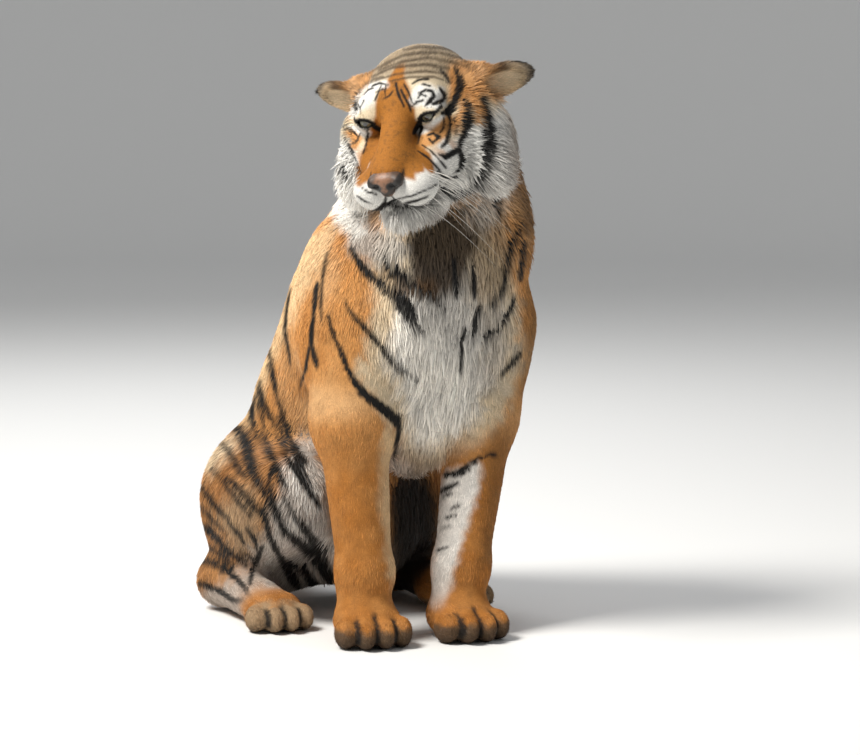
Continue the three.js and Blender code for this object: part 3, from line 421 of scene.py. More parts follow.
# ---------------- features of the head
LID_SLANT = 16  # how far the outer corner of the eye is raised, degrees
LID_HALF = 15.0  # half the width of the opening between the lids
UPPER_LID = 4.8  # how far the opening reaches above and below the line through its corners
LOWER_LID = 7.0
LIP_BACK = 74  # how far round the mouth line runs, degrees to each side
LIP_MIDDLE = -85  # height of the mouth line under the nose, in the head's frame
LIP_DROP = 24  # how much lower it runs under the upper lips
LIP_GROOVE = 1.6  # half the width of the groove


def lid_opening(local, sign):
    """Place along the line through the corners of the eye, height above it, and the lids' heights."""
    p = local - on_side(EYE_AT, sign)
    slant = math.radians(LID_SLANT)
    across = sign * p[:, 0] * math.cos(slant) + p[:, 2] * math.sin(slant)
    up = -sign * p[:, 0] * math.sin(slant) + p[:, 2] * math.cos(slant)
    bow = (1 - np.clip(across / LID_HALF, -1, 1) ** 2) ** 0.8
    return across, up, UPPER_LID * bow, -LOWER_LID * bow


def almond(local, sign):
    """Distance to the opening between the lids: negative inside it."""
    across, up, upper, lower = lid_opening(local, sign)
    inside = np.maximum(np.maximum(up - upper, lower - up), np.abs(across) - LID_HALF)
    return np.maximum(inside, local[:, 1] - EYE_AT[1] + 6)


def almond_edge(local, sign):
    """How far a point is outside the opening between the lids, seen from in front."""
    across, up, upper, lower = lid_opening(local, sign)
    beside = np.maximum(np.abs(across) - LID_HALF, 0)
    return np.hypot(beside, np.maximum(np.maximum(up - upper, lower - up), 0))


def from_lids(local, sign):
    """How far each point is outside the opening between the lids, and which points are near it."""
    near = (local[:, 1] < -80) & (np.linalg.norm(local - on_side(EYE_AT, sign), axis=1) < 60)
    away = np.full(len(local), FAR)
    away[near] = almond_edge(local[near], sign)
    return away, near


def mouth_away(local):
    """How far a point is from the sheet in which the mouth line runs round the muzzle."""
    angle = np.abs(np.degrees(np.arctan2(local[:, 0], -(local[:, 1] + 120))))
    share = angle / LIP_BACK
    height = LIP_MIDDLE - LIP_DROP * soft(share, 0.0, 0.55) + 9 * soft(share, 0.55, 1.0)
    return np.maximum(np.abs(local[:, 2] - height), (angle - LIP_BACK) * 1.5)


CLEFT = ((0, -243, -60), (0, -240, -74), (0, -228, LIP_MIDDLE + 2))  # of the upper lip
CLEFT_RADIUS = 2.4
TEAR_AT = (41, -119, 27)  # hollow at the inner corner of the eye
TEAR_RADII = (6, 8, 3)
CUP_FROM_EAR = (0, -16.15, -5.95)  # middle of the ear's cup, from the middle of the ear
CUP_RADII = (47, 15, 27)


def head_features(points, d):
    """Sockets, lids, cups of the ears, mouth line and the cleft of the upper lip."""
    near = np.flatnonzero((((points - HEAD.at) ** 2).sum(1) < 300 ** 2) & (np.abs(d) < 40))
    if not len(near):
        return d
    e = d[near]
    local = HEAD.into(points[near])
    for _, s in SIDES:
        eyeball = np.linalg.norm(local - on_side(EYE_AT, s), axis=1) - EYE_RADIUS - 0.4
        tear = np.linalg.norm((local - on_side(TEAR_AT, s)) / TEAR_RADII, axis=1) * 3 - 3
        e = carve(e, tear, 4)
        e = carve(e, almond(local, s), 2)
        e = np.maximum(e, -eyeball)
        cup = (local - on_side(np.add(EAR_AT, CUP_FROM_EAR), s)) @ turned(ear_turn(s)) / CUP_RADII
        cup = (np.linalg.norm(cup, axis=1) - 1) * CUP_RADII[1]
        e = carve(e, cup, 6)
    groove = np.maximum(mouth_away(local) - LIP_GROOVE, -e - 5)
    e = carve(e, groove, 3)
    e = carve(e, tube_distance(local, np.array(CLEFT, float), CLEFT_RADIUS), 3)
    d = d.copy()
    d[near] = e
    return d


def skin_field(points):
    d = np.empty(len(points))
    for start in range(0, len(points), BATCH):
        part = points[start:start + BATCH]
        melted = head_features(part, melt(BODY, part))
        d[start:start + BATCH] = np.maximum(melted, FLOOR_CLEAR - part[:, 2])
    return d


# ---------------- from a field to a surface
BLOCK = 8  # cells along each side of a block
BLOCK_REACH = 1.35  # a block further from the surface than this many of its widths is passed over
CLUSTER = 27  # blocks measured at a time, about three each way
CORNERS = np.array([(i, j, k) for i in (0, 1) for j in (0, 1) for k in (0, 1)])
EDGES = [(a, b) for a in range(8) for b in range(a, 8) if np.abs(CORNERS[a] - CORNERS[b]).sum() == 1]


def slope_of(field, points, step):
    """How much a field rises from one step before each point to one after it, along x, y and z."""
    return np.stack([field(points + e) - field(points - e) for e in np.eye(3) * step], 1)


def towards_zero(field, points, most=FAR):
    """Points moved along the slope of a field towards its zero. most limits each move."""
    slope = slope_of(field, points, 0.5)
    square = np.maximum((slope ** 2).sum(1), 0.05)
    return points - np.clip(field(points) / square, -most, most)[:, None] * slope


def grid(counts):
    """Whole numbers along x, y and z of every place in a box of so many places each way."""
    return np.indices(counts).reshape(3, -1).T.copy()


def sampled(field, low, high, step, warp):
    """The blocks that the surface may cross, and the field at every place of their grids."""
    block = grid(np.ceil((high - low) / step / BLOCK).astype(int))
    middle = field(warp(low + (block + 0.5) * BLOCK * step))
    block = block[np.abs(middle) < BLOCK * step * BLOCK_REACH]
    block = block[np.lexsort((*(block % 3).T, *(block // 3).T))]
    offsets = grid([BLOCK + 1] * 3)
    values = np.empty((len(block), len(offsets)), np.float32)
    for start in range(0, len(block), CLUSTER):
        part = block[start:start + CLUSTER]
        at = low + (part[:, None] * BLOCK + offsets[None]) * step
        values[start:start + CLUSTER] = field(warp(at.reshape(-1, 3))).reshape(len(part), -1)
    values[values == 0] = 1e-5
    return block, values.reshape(-1, BLOCK + 1, BLOCK + 1, BLOCK + 1)


def crossed_cells(block, values):
    """The cells that the surface crosses, and the field at their eight corners."""
    corner = np.stack([values[:, i:i + BLOCK, j:j + BLOCK, k:k + BLOCK] for i, j, k in CORNERS], -1)
    mixed = (corner.min(-1) < 0) & (corner.max(-1) > 0)
    which = np.argwhere(mixed)
    return block[which[:, 0]] * BLOCK + which[:, 1:], corner[mixed].astype(float)


def mean_crossing(v):
    """The mean place where the surface crosses the edges of each cell, counted in cells."""
    total = np.zeros((len(v), 3))
    count = np.zeros(len(v))
    for a, b in EDGES:
        crosses = (v[:, a] < 0) != (v[:, b] < 0)
        t = np.where(crosses, v[:, a] / np.where(crosses, v[:, a] - v[:, b], 1), 0)
        at = CORNERS[a] + t[:, None] * (CORNERS[b] - CORNERS[a])
        total += at * crosses[:, None]
        count += crosses
    return total / count[:, None]


def quads_round_edges(cell, v):
    """A quad for each crossed grid edge, joining the four cells round it and facing outwards."""
    size = cell.max(0) + 2

    def number(at):
        return (at[:, 0] * size[1] + at[:, 1]) * size[2] + at[:, 2]

    order = np.argsort(number(cell))
    ranked = number(cell)[order]

    def find(at):
        place = np.minimum(np.searchsorted(ranked, number(at)), len(ranked) - 1)
        return np.where(ranked[place] == number(at), order[place], -1)

    quads = []
    for axis in range(3):
        one, two = np.roll(np.eye(3, dtype=int), -axis - 1, axis=0)[:2]
        end = 1 << (2 - axis)
        chosen = np.flatnonzero((v[:, 0] < 0) != (v[:, end] < 0))
        base = cell[chosen]
        ring = np.stack([find(base), find(base - one), find(base - one - two), find(base - two)], 1)
        turned_round = v[chosen, 0] > 0
        ring[turned_round] = ring[turned_round][:, ::-1]
        quads.append(ring[(ring >= 0).all(1)])
    return np.vstack(quads)


def surface_net(field, low, high, step, warp=np.array, settle=3):
    """A quad mesh where the field is zero. warp maps the even grid into space, finer where it shrinks."""
    cell, v = crossed_cells(*sampled(field, low, high, step, warp))
    points = warp(low + (cell + mean_crossing(v)) * step)
    for _ in range(settle):
        points = towards_zero(field, points, 3)
    return points, quads_round_edges(cell, v)


def magnified(centre, finest, radius):
    """Warp that makes the grid finer round a centre: cells there are the given share of the others."""
    centre = np.array(centre, float)

    def warp(u):
        away = u - centre
        r = np.maximum(np.linalg.norm(away, axis=1, keepdims=True), 1e-6)
        return centre + away * (1 - (1 - finest) * radius * np.tanh(r / radius) / r)

    return warp


def new_object(name, data):
    """An object in the scene for a mesh, camera or lamp."""
    thing = bpy.data.objects.new(name, data)
    bpy.context.scene.collection.objects.link(thing)
    return thing


def mesh_object(name, points, faces):
    """A smooth mesh object in the row's frame, in metres, from points in the tiger's frame."""
    mesh = bpy.data.meshes.new(name)
    faces = np.asarray(faces)
    mesh.vertices.add(len(points))
    mesh.vertices.foreach_set("co", (np.asarray(points) * MM + SHIFT).ravel())
    mesh.loops.add(faces.size)
    mesh.loops.foreach_set("vertex_index", faces.ravel())
    mesh.polygons.add(len(faces))
    mesh.polygons.foreach_set("loop_start", np.arange(len(faces)) * faces.shape[1])
    mesh.update(calc_edges=True)
    mesh.validate()
    mesh.shade_smooth()
    return new_object(name, mesh)


def fan(tip, start, turns):
    """Triangles from one point to a closed ring of points, which begins at a given number."""
    return [(tip, start + step, start + (step + 1) % turns) for step in range(turns)]


def band(start, rings, turns):
    """Quads between closed rings of points, each one after the other."""
    quads = []
    for ring in range(start, start + (rings - 1) * turns, turns):
        for step in range(turns):
            a, b = ring + step, ring + (step + 1) % turns
            quads.append((a, a + turns, b + turns, b))
    return quads


# ---------------- noise
SHUFFLE = np.array((374761393, 668265263, 1274126177))  # spreads neighbouring corners far apart
POSITIVE = 0x7FFFFFFF


def noise(points, scale, seed):
    """Smooth noise from -1 to 1 whose lumps are about scale millimetres across."""
    q = np.asarray(points, float) / scale + seed * 17.3
    base = np.floor(q).astype(np.int64)
    f = q - base
    f = f * f * (3 - 2 * f)
    total = np.zeros(len(q))
    for corner in CORNERS:
        mixed = ((base + corner) @ SHUFFLE + seed * 97) & POSITIVE
        mixed = ((mixed ^ (mixed >> 13)) * 1103515245) & POSITIVE
        mixed = (mixed ^ (mixed >> 16)) & 0xFFFF
        x, y, z = np.where(corner, f, 1 - f).T
        total += x * y * z * (mixed / 32767.5 - 1)
    return total


# ---------------- markings
COLOURS = {
    "orange": (0.66, 0.31, 0.095),
    "deep": (0.46, 0.175, 0.032),
    "bridge": (0.42, 0.16, 0.024),
    "pale": (0.82, 0.60, 0.35),
    "cream": (0.78, 0.64, 0.44),
    "white": (0.90, 0.88, 0.83),
    "grey": (0.50, 0.47, 0.43),
    "buff": (0.40, 0.315, 0.21),
    "tan": (0.40, 0.29, 0.175),
    "smoke": (0.13, 0.108, 0.085),
    "fluff": (0.78, 0.62, 0.42),
    "brown": (0.14, 0.068, 0.022),
    "dusk": (0.055, 0.034, 0.018),
    "toe": (0.075, 0.062, 0.045),
    "black": (0.010, 0.009, 0.008),
    "leather": (0.23, 0.115, 0.065),
    "rim": (0.05, 0.03, 0.02),
}

# The stripes are drawn on an upright sheet seen from the viewer's place, ruled in squares that are
# a fixed width at the tiger. Each point is (across, down, width) in squares.
SHEET_MIDDLE = (430, 377.5)
SHEET_SIZE = 860

HEAD_STRIPES = (
    ((485, 100, 8), (487, 115, 9), (490, 130, 12), (492, 146, 13), (492, 158, 10), (489, 170, 7),
     (485, 182, 8), (477, 190, 8), (466, 194, 8), (453, 194, 5), (442, 190, 2)),
    ((456, 68, 4), (460, 76, 6), (461, 86, 9), (458, 97, 8), (454, 106, 8), (450, 111, 9), (443, 113, 5)),
    ((466, 100, 2), (470, 107, 8), (470, 120, 12), (467, 131, 8), (462, 141, 5), (460, 150, 5),
     (463, 160, 6), (462, 168, 5), (457, 172, 2)),
    ((461, 149, 5), (453, 153, 6), (446, 157, 5), (438, 154, 2)),
    ((449, 116, 3), (451, 124, 3), (449, 134, 4), (447, 142, 4), (442, 147, 3)),
    ((456, 118, 1.5), (458, 126, 2), (457, 134, 1)),
    ((436, 135, 3), (439, 137, 4)),
    ((419, 93, 2), (426, 90, 3), (432, 91, 3), (434, 96, 4), (430, 101, 4), (425, 106, 1)),
    ((433, 104, 3), (440, 102, 4), (446, 97, 2)),
    ((440, 88, 2), (445, 95, 4)),
    ((423, 84, 2), (430, 86, 2)),
    ((441, 70, 2), (446, 75, 4), (449, 81, 2)),
    ((396, 83, 1.5), (397, 90, 2), (400, 98, 2.5), (404, 106, 2)),
    ((401, 90, 1.5), (405, 98, 2.5), (409, 105, 2.5), (411, 111, 1.5)),
    ((393, 91, 1), (389, 96, 2), (383, 99, 1)),
    ((438, 172, 2), (446, 178, 3), (458, 178, 2)),
    ((354, 102, 2), (357, 110, 2)),
    ((345, 95, 1), (341, 108, 1.5), (342, 125, 1.5), (345, 140, 1.5), (351, 152, 1.5), (356, 160, 1)),
    ((334, 124, 3), (335, 145, 4), (336, 160, 3), (341, 172, 3), (348, 182, 2)),
    ((350, 130, 2), (358, 136, 1)),
    ((348, 144, 1.5), (353, 152, 1.5)),
    ((368, 133, 2), (366, 145, 2), (363, 153, 1)),
    ((404, 205, 1), (416, 201, 1.5), (428, 197, 1.2)),
    ((425, 191, 1), (436, 185, 1.5)),
    ((441, 190, 3), (452, 199, 4), (464, 200, 4)),
    ((352, 100, 1), (356, 94, 2), (362, 88, 1.5)),
    ((360, 108, 1), (364, 100, 1.5)),
    ((372, 86, 1), (380, 83, 1.6), (388, 85, 1)),
    ((376, 92, 1), (383, 89, 1.5)),
    ((385, 203, 2.5), (379, 209, 3.5), (371, 213, 3), (364, 213, 1.2)),
    ((385, 203, 2.5), (394, 207, 3.5), (405, 209, 3.2), (420, 208, 2.6), (430, 203, 2), (436, 198, 1)),
    ((386, 196, 2), (385, 204, 2)),
    ((398, 199, 0.8), (412, 196, 1.2), (426, 190, 1.2), (437, 184, 0.8)),
    ((405, 203, 0.8), (418, 200, 1.2), (430, 195, 0.8)),
    ((362, 188, 0.8), (368, 192, 1.2), (376, 194, 0.8)),
    ((357, 196, 0.8), (364, 201, 1.2), (372, 204, 0.8)),
    ((412, 84, 1), (418, 80, 2), (428, 79, 2)),
    ((428, 135, 1), (434, 133, 2), (438, 138, 2.5), (433, 143, 2), (429, 139, 1)),
    ((422, 145, 1), (430, 150, 1.6), (438, 158, 1.6), (446, 168, 1)),
    ((418, 151, 1), (427, 157, 1.5), (435, 165, 1.5), (441, 172, 1)),
    ((444, 118, 1), (444, 127, 1.8), (440, 133, 1)),
    ((348, 118, 1), (346, 126, 1.8), (350, 134, 1.2)),
    ((360, 133, 1), (357, 140, 1.6), (352, 144, 1)),
    ((414, 133, 3), (418, 126, 5), (421, 119, 4)),
    ((367, 131, 2), (369, 126, 2.5), (371, 121, 1.5)),
    ((351, 100, 0.8), (354, 107, 1.4), (356, 114, 0.8)),
    ((356, 101, 0.8), (360, 108, 1.4), (361, 115, 0.8)),
    ((346, 92, 0.8), (352, 87, 1.4), (360, 83, 0.8)),
    ((364, 95, 0.8), (368, 90, 1.4), (374, 88, 0.8)),
    ((381, 86, 1), (378, 93, 1.6), (375, 100, 1)),
    ((386, 84, 1), (385, 92, 1.4), (386, 98, 0.8)),
    ((404, 84, 1), (409, 93, 1.8), (412, 102, 1)),
    ((412, 106, 1), (417, 102, 2), (423, 100, 1)),
    ((418, 98, 1), (421, 94, 1.6), (426, 96, 1.2)),
)
CROWN_STRIPES = (
    ((404, 49, 1.5), (420, 46, 2.6), (445, 48, 2.6), (462, 54, 1.5)),
    ((385, 63, 1.5), (402, 55, 2.6), (421, 52, 2.6), (440, 52, 2.6), (456, 56, 2.6), (477, 66, 2)),
    ((379, 70, 1.5), (402, 61, 2.6), (429, 57, 2.6), (460, 63, 2.6), (477, 71, 2)),
    ((370, 77, 1.5), (393, 67, 2.4), (427, 64, 2.4), (449, 68, 2)),
    ((374, 81, 1), (396, 74, 2), (427, 71, 2), (446, 74, 2)),
    ((390, 81, 1), (410, 77, 2), (435, 77, 2), (446, 81, 1.5)),
    ((362, 84, 1.5), (374, 79, 2), (384, 77, 1.5)),
    ((355, 92, 1), (364, 85, 2), (372, 82, 1)),
    ((366, 74, 1), (376, 68, 2), (390, 62, 1)),
    ((350, 84, 1), (358, 77, 1.6), (370, 71, 1)),
    ((462, 64, 2), (470, 65, 3)),
)
TRUNK_STRIPES = (
    ((350, 250, 3), (358, 262, 5), (364, 272, 6), (376, 282, 6), (385, 292, 7), (396, 299, 9),
     (404, 308, 13), (410, 320, 9), (416, 330, 5), (424, 335, 3)),
    ((384, 266, 5), (392, 272, 9), (402, 280, 9), (412, 287, 6), (424, 295, 5), (436, 303, 4),
     (444, 312, 2)),
    ((345, 305, 2), (352, 316, 3), (362, 327, 4), (374, 340, 4), (384, 352, 4), (394, 366, 5),
     (405, 375, 4), (418, 382, 2)),
    ((328, 316, 2), (331, 332, 3), (340, 350, 3), (346, 366, 4), (352, 378, 4), (362, 392, 6),
     (374, 402, 7), (386, 411, 7), (396, 420, 8), (399, 430, 4)),
    ((326, 255, 1.5), (323, 272, 2), (321, 290, 1.2), (320, 308, 2), (321, 322, 1)),
    ((317, 284, 2), (314, 300, 4), (313, 318, 2.5), (311, 332, 3), (311, 345, 3), (315, 360, 4),
     (317, 368, 2)),
    ((309, 348, 2), (306, 368, 2), (300, 390, 1.5)),
    ((290, 290, 1), (286, 310, 2), (284, 330, 2.5), (287, 350, 2.5), (290, 366, 1)),
    ((268, 352, 2), (272, 372, 3), (276, 394, 2)),
    ((266, 328, 1), (263, 345, 2), (262, 358, 1)),
    ((258, 382, 1.5), (262, 400, 3), (266, 412, 4), (272, 425, 3), (279, 440, 3), (284, 455, 4),
     (290, 465, 4), (298, 476, 3), (306, 490, 4), (314, 500, 5), (320, 508, 3)),
    ((276, 418, 1.5), (282, 434, 2), (288, 452, 2)),
    ((286, 424, 1.5), (292, 442, 3), (299, 457, 5), (306, 464, 4)),
    ((246, 392, 2), (252, 405, 3), (250, 420, 5), (252, 432, 5), (258, 440, 4), (264, 450, 3),
     (270, 462, 3), (275, 475, 3), (280, 486, 2)),
    ((243, 398, 1.5), (245, 414, 2)),
    ((256, 388, 1.5), (260, 405, 2.5), (263, 418, 1)),
    ((270, 468, 3), (268, 485, 3), (272, 500, 4), (276, 512, 4), (280, 525, 4), (285, 535, 5),
     (295, 540, 6), (306, 550, 7), (316, 560, 9), (325, 570, 10), (331, 580, 8)),
    ((262, 510, 3), (266, 525, 4), (270, 540, 4), (278, 555, 4), (285, 568, 7), (293, 580, 8),
     (297, 588, 5)),
    ((304, 568, 5), (310, 582, 8), (320, 592, 6)),
    ((497, 195, 4), (499, 208, 5), (500, 220, 2)),
    ((520, 228, 4), (514, 245, 5), (508, 262, 5), (505, 280, 4), (500, 295, 4), (490, 310, 3)),
    ((524, 245, 4), (522, 262, 4), (520, 280, 4)),
    ((515, 300, 3), (508, 318, 3), (497, 333, 3), (485, 340, 3)),
    ((478, 312, 6), (474, 325, 4), (473, 340, 3)),
    ((472, 268, 3), (474, 285, 4), (473, 300, 3)),
    ((454, 262, 4), (455, 285, 4), (456, 300, 2)),
    ((520, 356, 4), (510, 366, 4), (502, 376, 3)),
    ((464, 330, 2), (462, 350, 3), (460, 375, 2)),
    ((267, 367, 1.5), (276, 398, 2.5), (287, 432, 3), (300, 462, 3), (312, 488, 2)),
    ((280, 419, 1.5), (289, 443, 2.5), (298, 467, 3.5), (309, 490, 3), (318, 506, 2)),
    ((254, 398, 1.5), (261, 424, 2.5), (269, 451, 3), (279, 474, 3), (288, 493, 2)),
    ((280, 493, 2), (290, 512, 3.5), (301, 530, 4), (314, 547, 4), (327, 562, 3)),
    ((259, 488, 2), (267, 505, 3), (275, 519, 3.5), (290, 540, 4), (306, 556, 3)),
    ((300, 520, 2), (308, 532, 3), (318, 543, 3), (326, 552, 2)),
    ((290, 565, 3), (302, 574, 4), (314, 586, 5)),
)
HAUNCH_STRIPES = (
    ((235, 430, 7), (242, 440, 9), (246, 452, 10), (249, 465, 9), (253, 478, 6), (260, 488, 5),
     (266, 500, 4), (272, 512, 5), (279, 522, 4), (285, 535, 6)),
    ((218, 443, 3), (226, 452, 4), (232, 460, 5), (238, 472, 5), (246, 480, 2)),
    ((225, 477, 2), (234, 486, 4), (242, 495, 4), (252, 507, 5), (260, 515, 4), (266, 528, 4),
     (270, 540, 3), (276, 550, 3)),
    ((199, 487, 3), (210, 502, 4), (220, 514, 4), (228, 521, 2)),
    ((190, 524, 6), (208, 531, 6), (216, 540, 5), (226, 552, 5), (238, 560, 5), (246, 564, 3)),
    ((190, 560, 6), (212, 564, 6), (228, 571, 5), (238, 580, 4), (246, 590, 4), (252, 600, 3)),
    ((240, 553, 2), (252, 560, 3), (258, 566, 2)),
    ((228, 525, 2), (238, 535, 3), (244, 545, 2)),
    ((246, 530, 2), (254, 540, 3), (257, 550, 2)),
    ((200, 585, 4), (218, 590, 4), (234, 601, 4), (246, 602, 3)),
    ((210, 470, 2), (220, 480, 3), (230, 494, 3), (240, 506, 3), (250, 518, 2)),
    ((196, 505, 2), (206, 515, 3), (216, 526, 3), (226, 536, 2)),
    ((190, 542, 3), (206, 548, 4), (220, 556, 4), (232, 566, 3)),
    ((262, 548, 2), (258, 558, 4), (252, 572, 4), (250, 584, 3)),
)
FORELEG_STRIPES = (
    ((495, 454, 2), (480, 458, 3), (468, 466, 4), (458, 472, 5), (446, 476, 5)),
    ((458, 483, 2), (450, 487, 4), (440, 492, 5)),
    ((452, 494, 1), (443, 496, 3)),
    ((451, 526, 1), (441, 529, 3)),
    ((448, 547, 1), (438, 550, 3)),
    ((470, 470, 1.5), (462, 474, 3), (452, 477, 3)),
    ((462, 505, 1), (452, 508, 2.5)),
    ((456, 515, 1), (446, 518, 2)),
    ((399, 432, 4), (396, 446, 4), (394, 460, 3)),
)

# Broad patches, laid down in this order under the stripes: where, colour, softness of the edge, how
# strongly, and the strokes.
PATCHES = (
    # Painted highlight: a pale band down the upper edge of the shoulder and back, where the key lamp falls.
    ("trunk", "pale", 9, 0.8, (
        ((330, 232, 10), (318, 246, 20), (298, 272, 26), (280, 312, 26), (264, 356, 22), (250, 396, 16),
         (240, 425, 12)),
    )),
    ("trunk", "deep", 6, 0.5, (
        ((312, 300, 8), (306, 345, 10), (303, 395, 12)),
        ((322, 330, 5), (320, 366, 8)),
    )),
    ("trunk", "cream", 10, 0.9, (
        ((424, 262, 90), (440, 285, 128), (446, 315, 142), (444, 348, 152), (444, 378, 136),
         (442, 405, 104), (434, 434, 70)),
        ((366, 372, 14), (376, 384, 14)),
    )),
    ("trunk", "white", 12, 0.8, (
        ((432, 300, 60), (436, 330, 78), (436, 352, 92), (440, 380, 80), (440, 404, 70), (428, 430, 34)),
    )),
    # Painted shade: grey over the white of the chest on its side away from the key lamp.
    ("trunk", "grey", 14, 0.7, (((452, 300, 74), (474, 322, 66), (492, 345, 36), (486, 380, 24)),)),
    # Painted shade: brown where the chest turns under, above the dark gap between the forelegs.
    ("trunk", "brown", 12, 0.55, (((400, 462, 10), (424, 466, 26), (452, 462, 10)),)),
    # Painted shade: brown down the edge of the neck and chest away from the key lamp.
    ("trunk", "brown", 9, 0.6, (((533, 225, 16), (537, 280, 14), (534, 340, 12), (527, 390, 12)),)),
    ("throat", "tan", 10, 0.75, (((486, 232, 36), (494, 262, 40), (490, 285, 30)),)),
    # Painted shadow: dark brown on the throat, under the chin and the beard.
    ("throat", "dusk", 8, 0.95, (((428, 250, 42), (448, 240, 52), (440, 266, 56), (420, 284, 26)),)),
    ("throat", "brown", 8, 0.7, (((384, 276, 10), (404, 290, 14), (424, 290, 14)),)),
    ("throat", "grey", 8, 0.85, (((362, 244, 28), (384, 250, 34), (396, 254, 20)),)),
    ("throat", "white", 7, 0.95, (((338, 178, 24), (341, 200, 28), (350, 220, 26), (356, 232, 14)),)),
    ("throat", "grey", 9, 0.7, (
        ((506, 140, 14), (507, 165, 18), (502, 188, 22), (490, 206, 26), (480, 220, 22)),
    )),
    # Painted shade: brown down the edge of the neck away from the key lamp.
    ("throat", "brown", 7, 0.8, (((512, 118, 10), (519, 150, 12), (524, 186, 18), (529, 222, 22)),)),
    ("flank", "grey", 9, 0.9, (
        ((304, 448, 18), (306, 478, 36), (298, 515, 54), (298, 550, 66), (300, 592, 66)),
    )),
    ("flank", "white", 9, 0.55, (
        ((284, 470, 8), (302, 492, 18), (312, 512, 12)),
        ((296, 528, 12), (318, 548, 14)),
    )),
    ("haunch", "cream", 9, 0.75, (((206, 462, 22), (216, 450, 20), (228, 444, 12)),)),
    ("haunch", "tan", 12, 0.7, (((234, 520, 30), (246, 545, 30), (244, 500, 22)),)),
    ("haunch", "grey", 10, 0.75, (((264, 560, 26), (262, 582, 40), (246, 600, 46), (220, 604, 30)),)),
    ("leg", "pale", 7, 0.75, (((390, 440, 12), (389, 500, 14), (396, 560, 16), (404, 600, 12)),)),
    ("leg", "white", 6, 0.9, (
        ((474, 472, 14), (460, 486, 34), (452, 508, 36), (448, 535, 28), (443, 570, 22), (438, 602, 14)),
    )),
    # Painted shade: brown down the outer side of the left foreleg, away from the key lamp.
    ("leg", "brown", 8, 0.45, (((500, 440, 20), (494, 500, 14), (488, 560, 12)),)),
    # Painted shade: dark and black in the gap between the forelegs, where the belly lies in shade.
    ("between", "dusk", 9, 1.0, (((413, 496, 42), (414, 530, 44), (410, 565, 40), (408, 596, 26)),)),
    ("between", "black", 9, 0.85, (((414, 500, 30), (414, 545, 34), (410, 580, 26)),)),
)
HEAD_PATCHES = (
    ("bridge", 2.5, 1.0, (
        ((392, 88, 8), (384, 108, 12), (377, 130, 12), (370, 150, 12), (362, 170, 10), (358, 184, 4)),
        ((393, 88, 10), (389, 108, 14), (384, 130, 14), (380, 150, 14), (373, 168, 12)),
        ((394, 90, 10), (396, 108, 14), (394, 130, 14), (392, 150, 14), (388, 168, 12)),
        ((396, 92, 10), (402, 110, 14), (401, 130, 12), (404, 148, 14), (404, 168, 12)),
        ((398, 92, 8), (408, 108, 9), (406, 128, 8), (415, 150, 14), (418, 167, 12)),
        ((424, 157, 12), (428, 164, 9), (432, 171, 4)),
    )),
    ("white", 3, 1.0, (
        ((416, 100, 12), (421, 94, 14), (430, 98, 20), (438, 103, 12), (441, 90, 6)),
        ((371, 88, 8), (363, 96, 12), (357, 106, 12), (352, 114, 8)),
        ((384, 84, 6), (372, 88, 6)),
    )),
    ("white", 2, 1.0, (
        ((419, 131, 5), (428, 128, 7), (437, 121, 6), (443, 116, 3)),
        ((352, 128, 6), (359, 131, 7), (367, 133, 6)),
        ((441, 146, 5), (450, 150, 6), (444, 141, 4)),
    )),
    ("orange", 3, 0.95, (
        ((424, 143, 9), (434, 137, 13), (443, 129, 13), (450, 121, 9)),
        ((350, 133, 7), (356, 139, 9), (353, 146, 6)),
        ((453, 72, 8), (455, 85, 6), (453, 98, 6)),
        ((464, 88, 6), (466, 102, 6), (463, 114, 5), (458, 122, 5)),
        ((476, 96, 8), (480, 110, 7), (479, 122, 5)),
    )),
    ("white", 4, 0.9, (((473, 132, 12), (474, 150, 18), (471, 168, 18), (462, 180, 12)),)),
    ("orange", 5, 0.8, (((474, 76, 12), (486, 84, 18), (496, 92, 18)),)),
)


def on_sheet(points):
    """Where each point of the tiger falls on the drawing sheet, and the way to the viewer from it."""
    view = view_from(math.radians(VIEW_AZIMUTH), math.radians(VIEW_HEIGHT))
    right, up, back = (np.array(axis) for axis in view)
    eye = (np.array(VIEW_FOOT) + right * VIEW_RIGHT + up * VIEW_UP + back * VIEW_DISTANCE) / MM
    away = points - eye
    depth = -away @ back
    zoom = VIEW_DISTANCE / VIEW_WIDTH * SHEET_SIZE / depth
    across = SHEET_MIDDLE[0] + away @ right * zoom
    down = SHEET_MIDDLE[1] - away @ up * zoom
    return np.stack([across, down], 1), -away / np.linalg.norm(away, axis=1, keepdims=True)


def brush(sheet, stroke, edge=1.0, wobble=None):
    """How much of each point a stroke covers, from 0 to 1."""
    stroke = np.array(stroke, float)
    margin = stroke[:, 2].max() + edge * 2
    low, high = stroke[:, :2].min(0) - margin, stroke[:, :2].max(0) + margin
    near = np.flatnonzero(((sheet > low) & (sheet < high)).all(1))
    covered = np.zeros(len(sheet))
    if not len(near):
        return covered
    p = sheet[near]
    outside = np.full(len(near), FAR)
    for a, b in zip(stroke[:-1], stroke[1:]):
        t, away = line_distance(p, a[:2], b[:2])
        outside = np.minimum(outside, away - (a[2] + t * (b[2] - a[2])) / 2)
    if wobble is not None:
        outside += wobble[near]
    covered[near] = soft(-outside, -edge, edge)
    return covered


def mix(colours, name, share):
    """Lays one of the named colours over the others."""
    return colours + (np.array(COLOURS[name]) - colours) * np.clip(share, 0, 1)[:, None]


def plain(name, count):
    return np.tile(COLOURS[name], (count, 1)).astype(float)


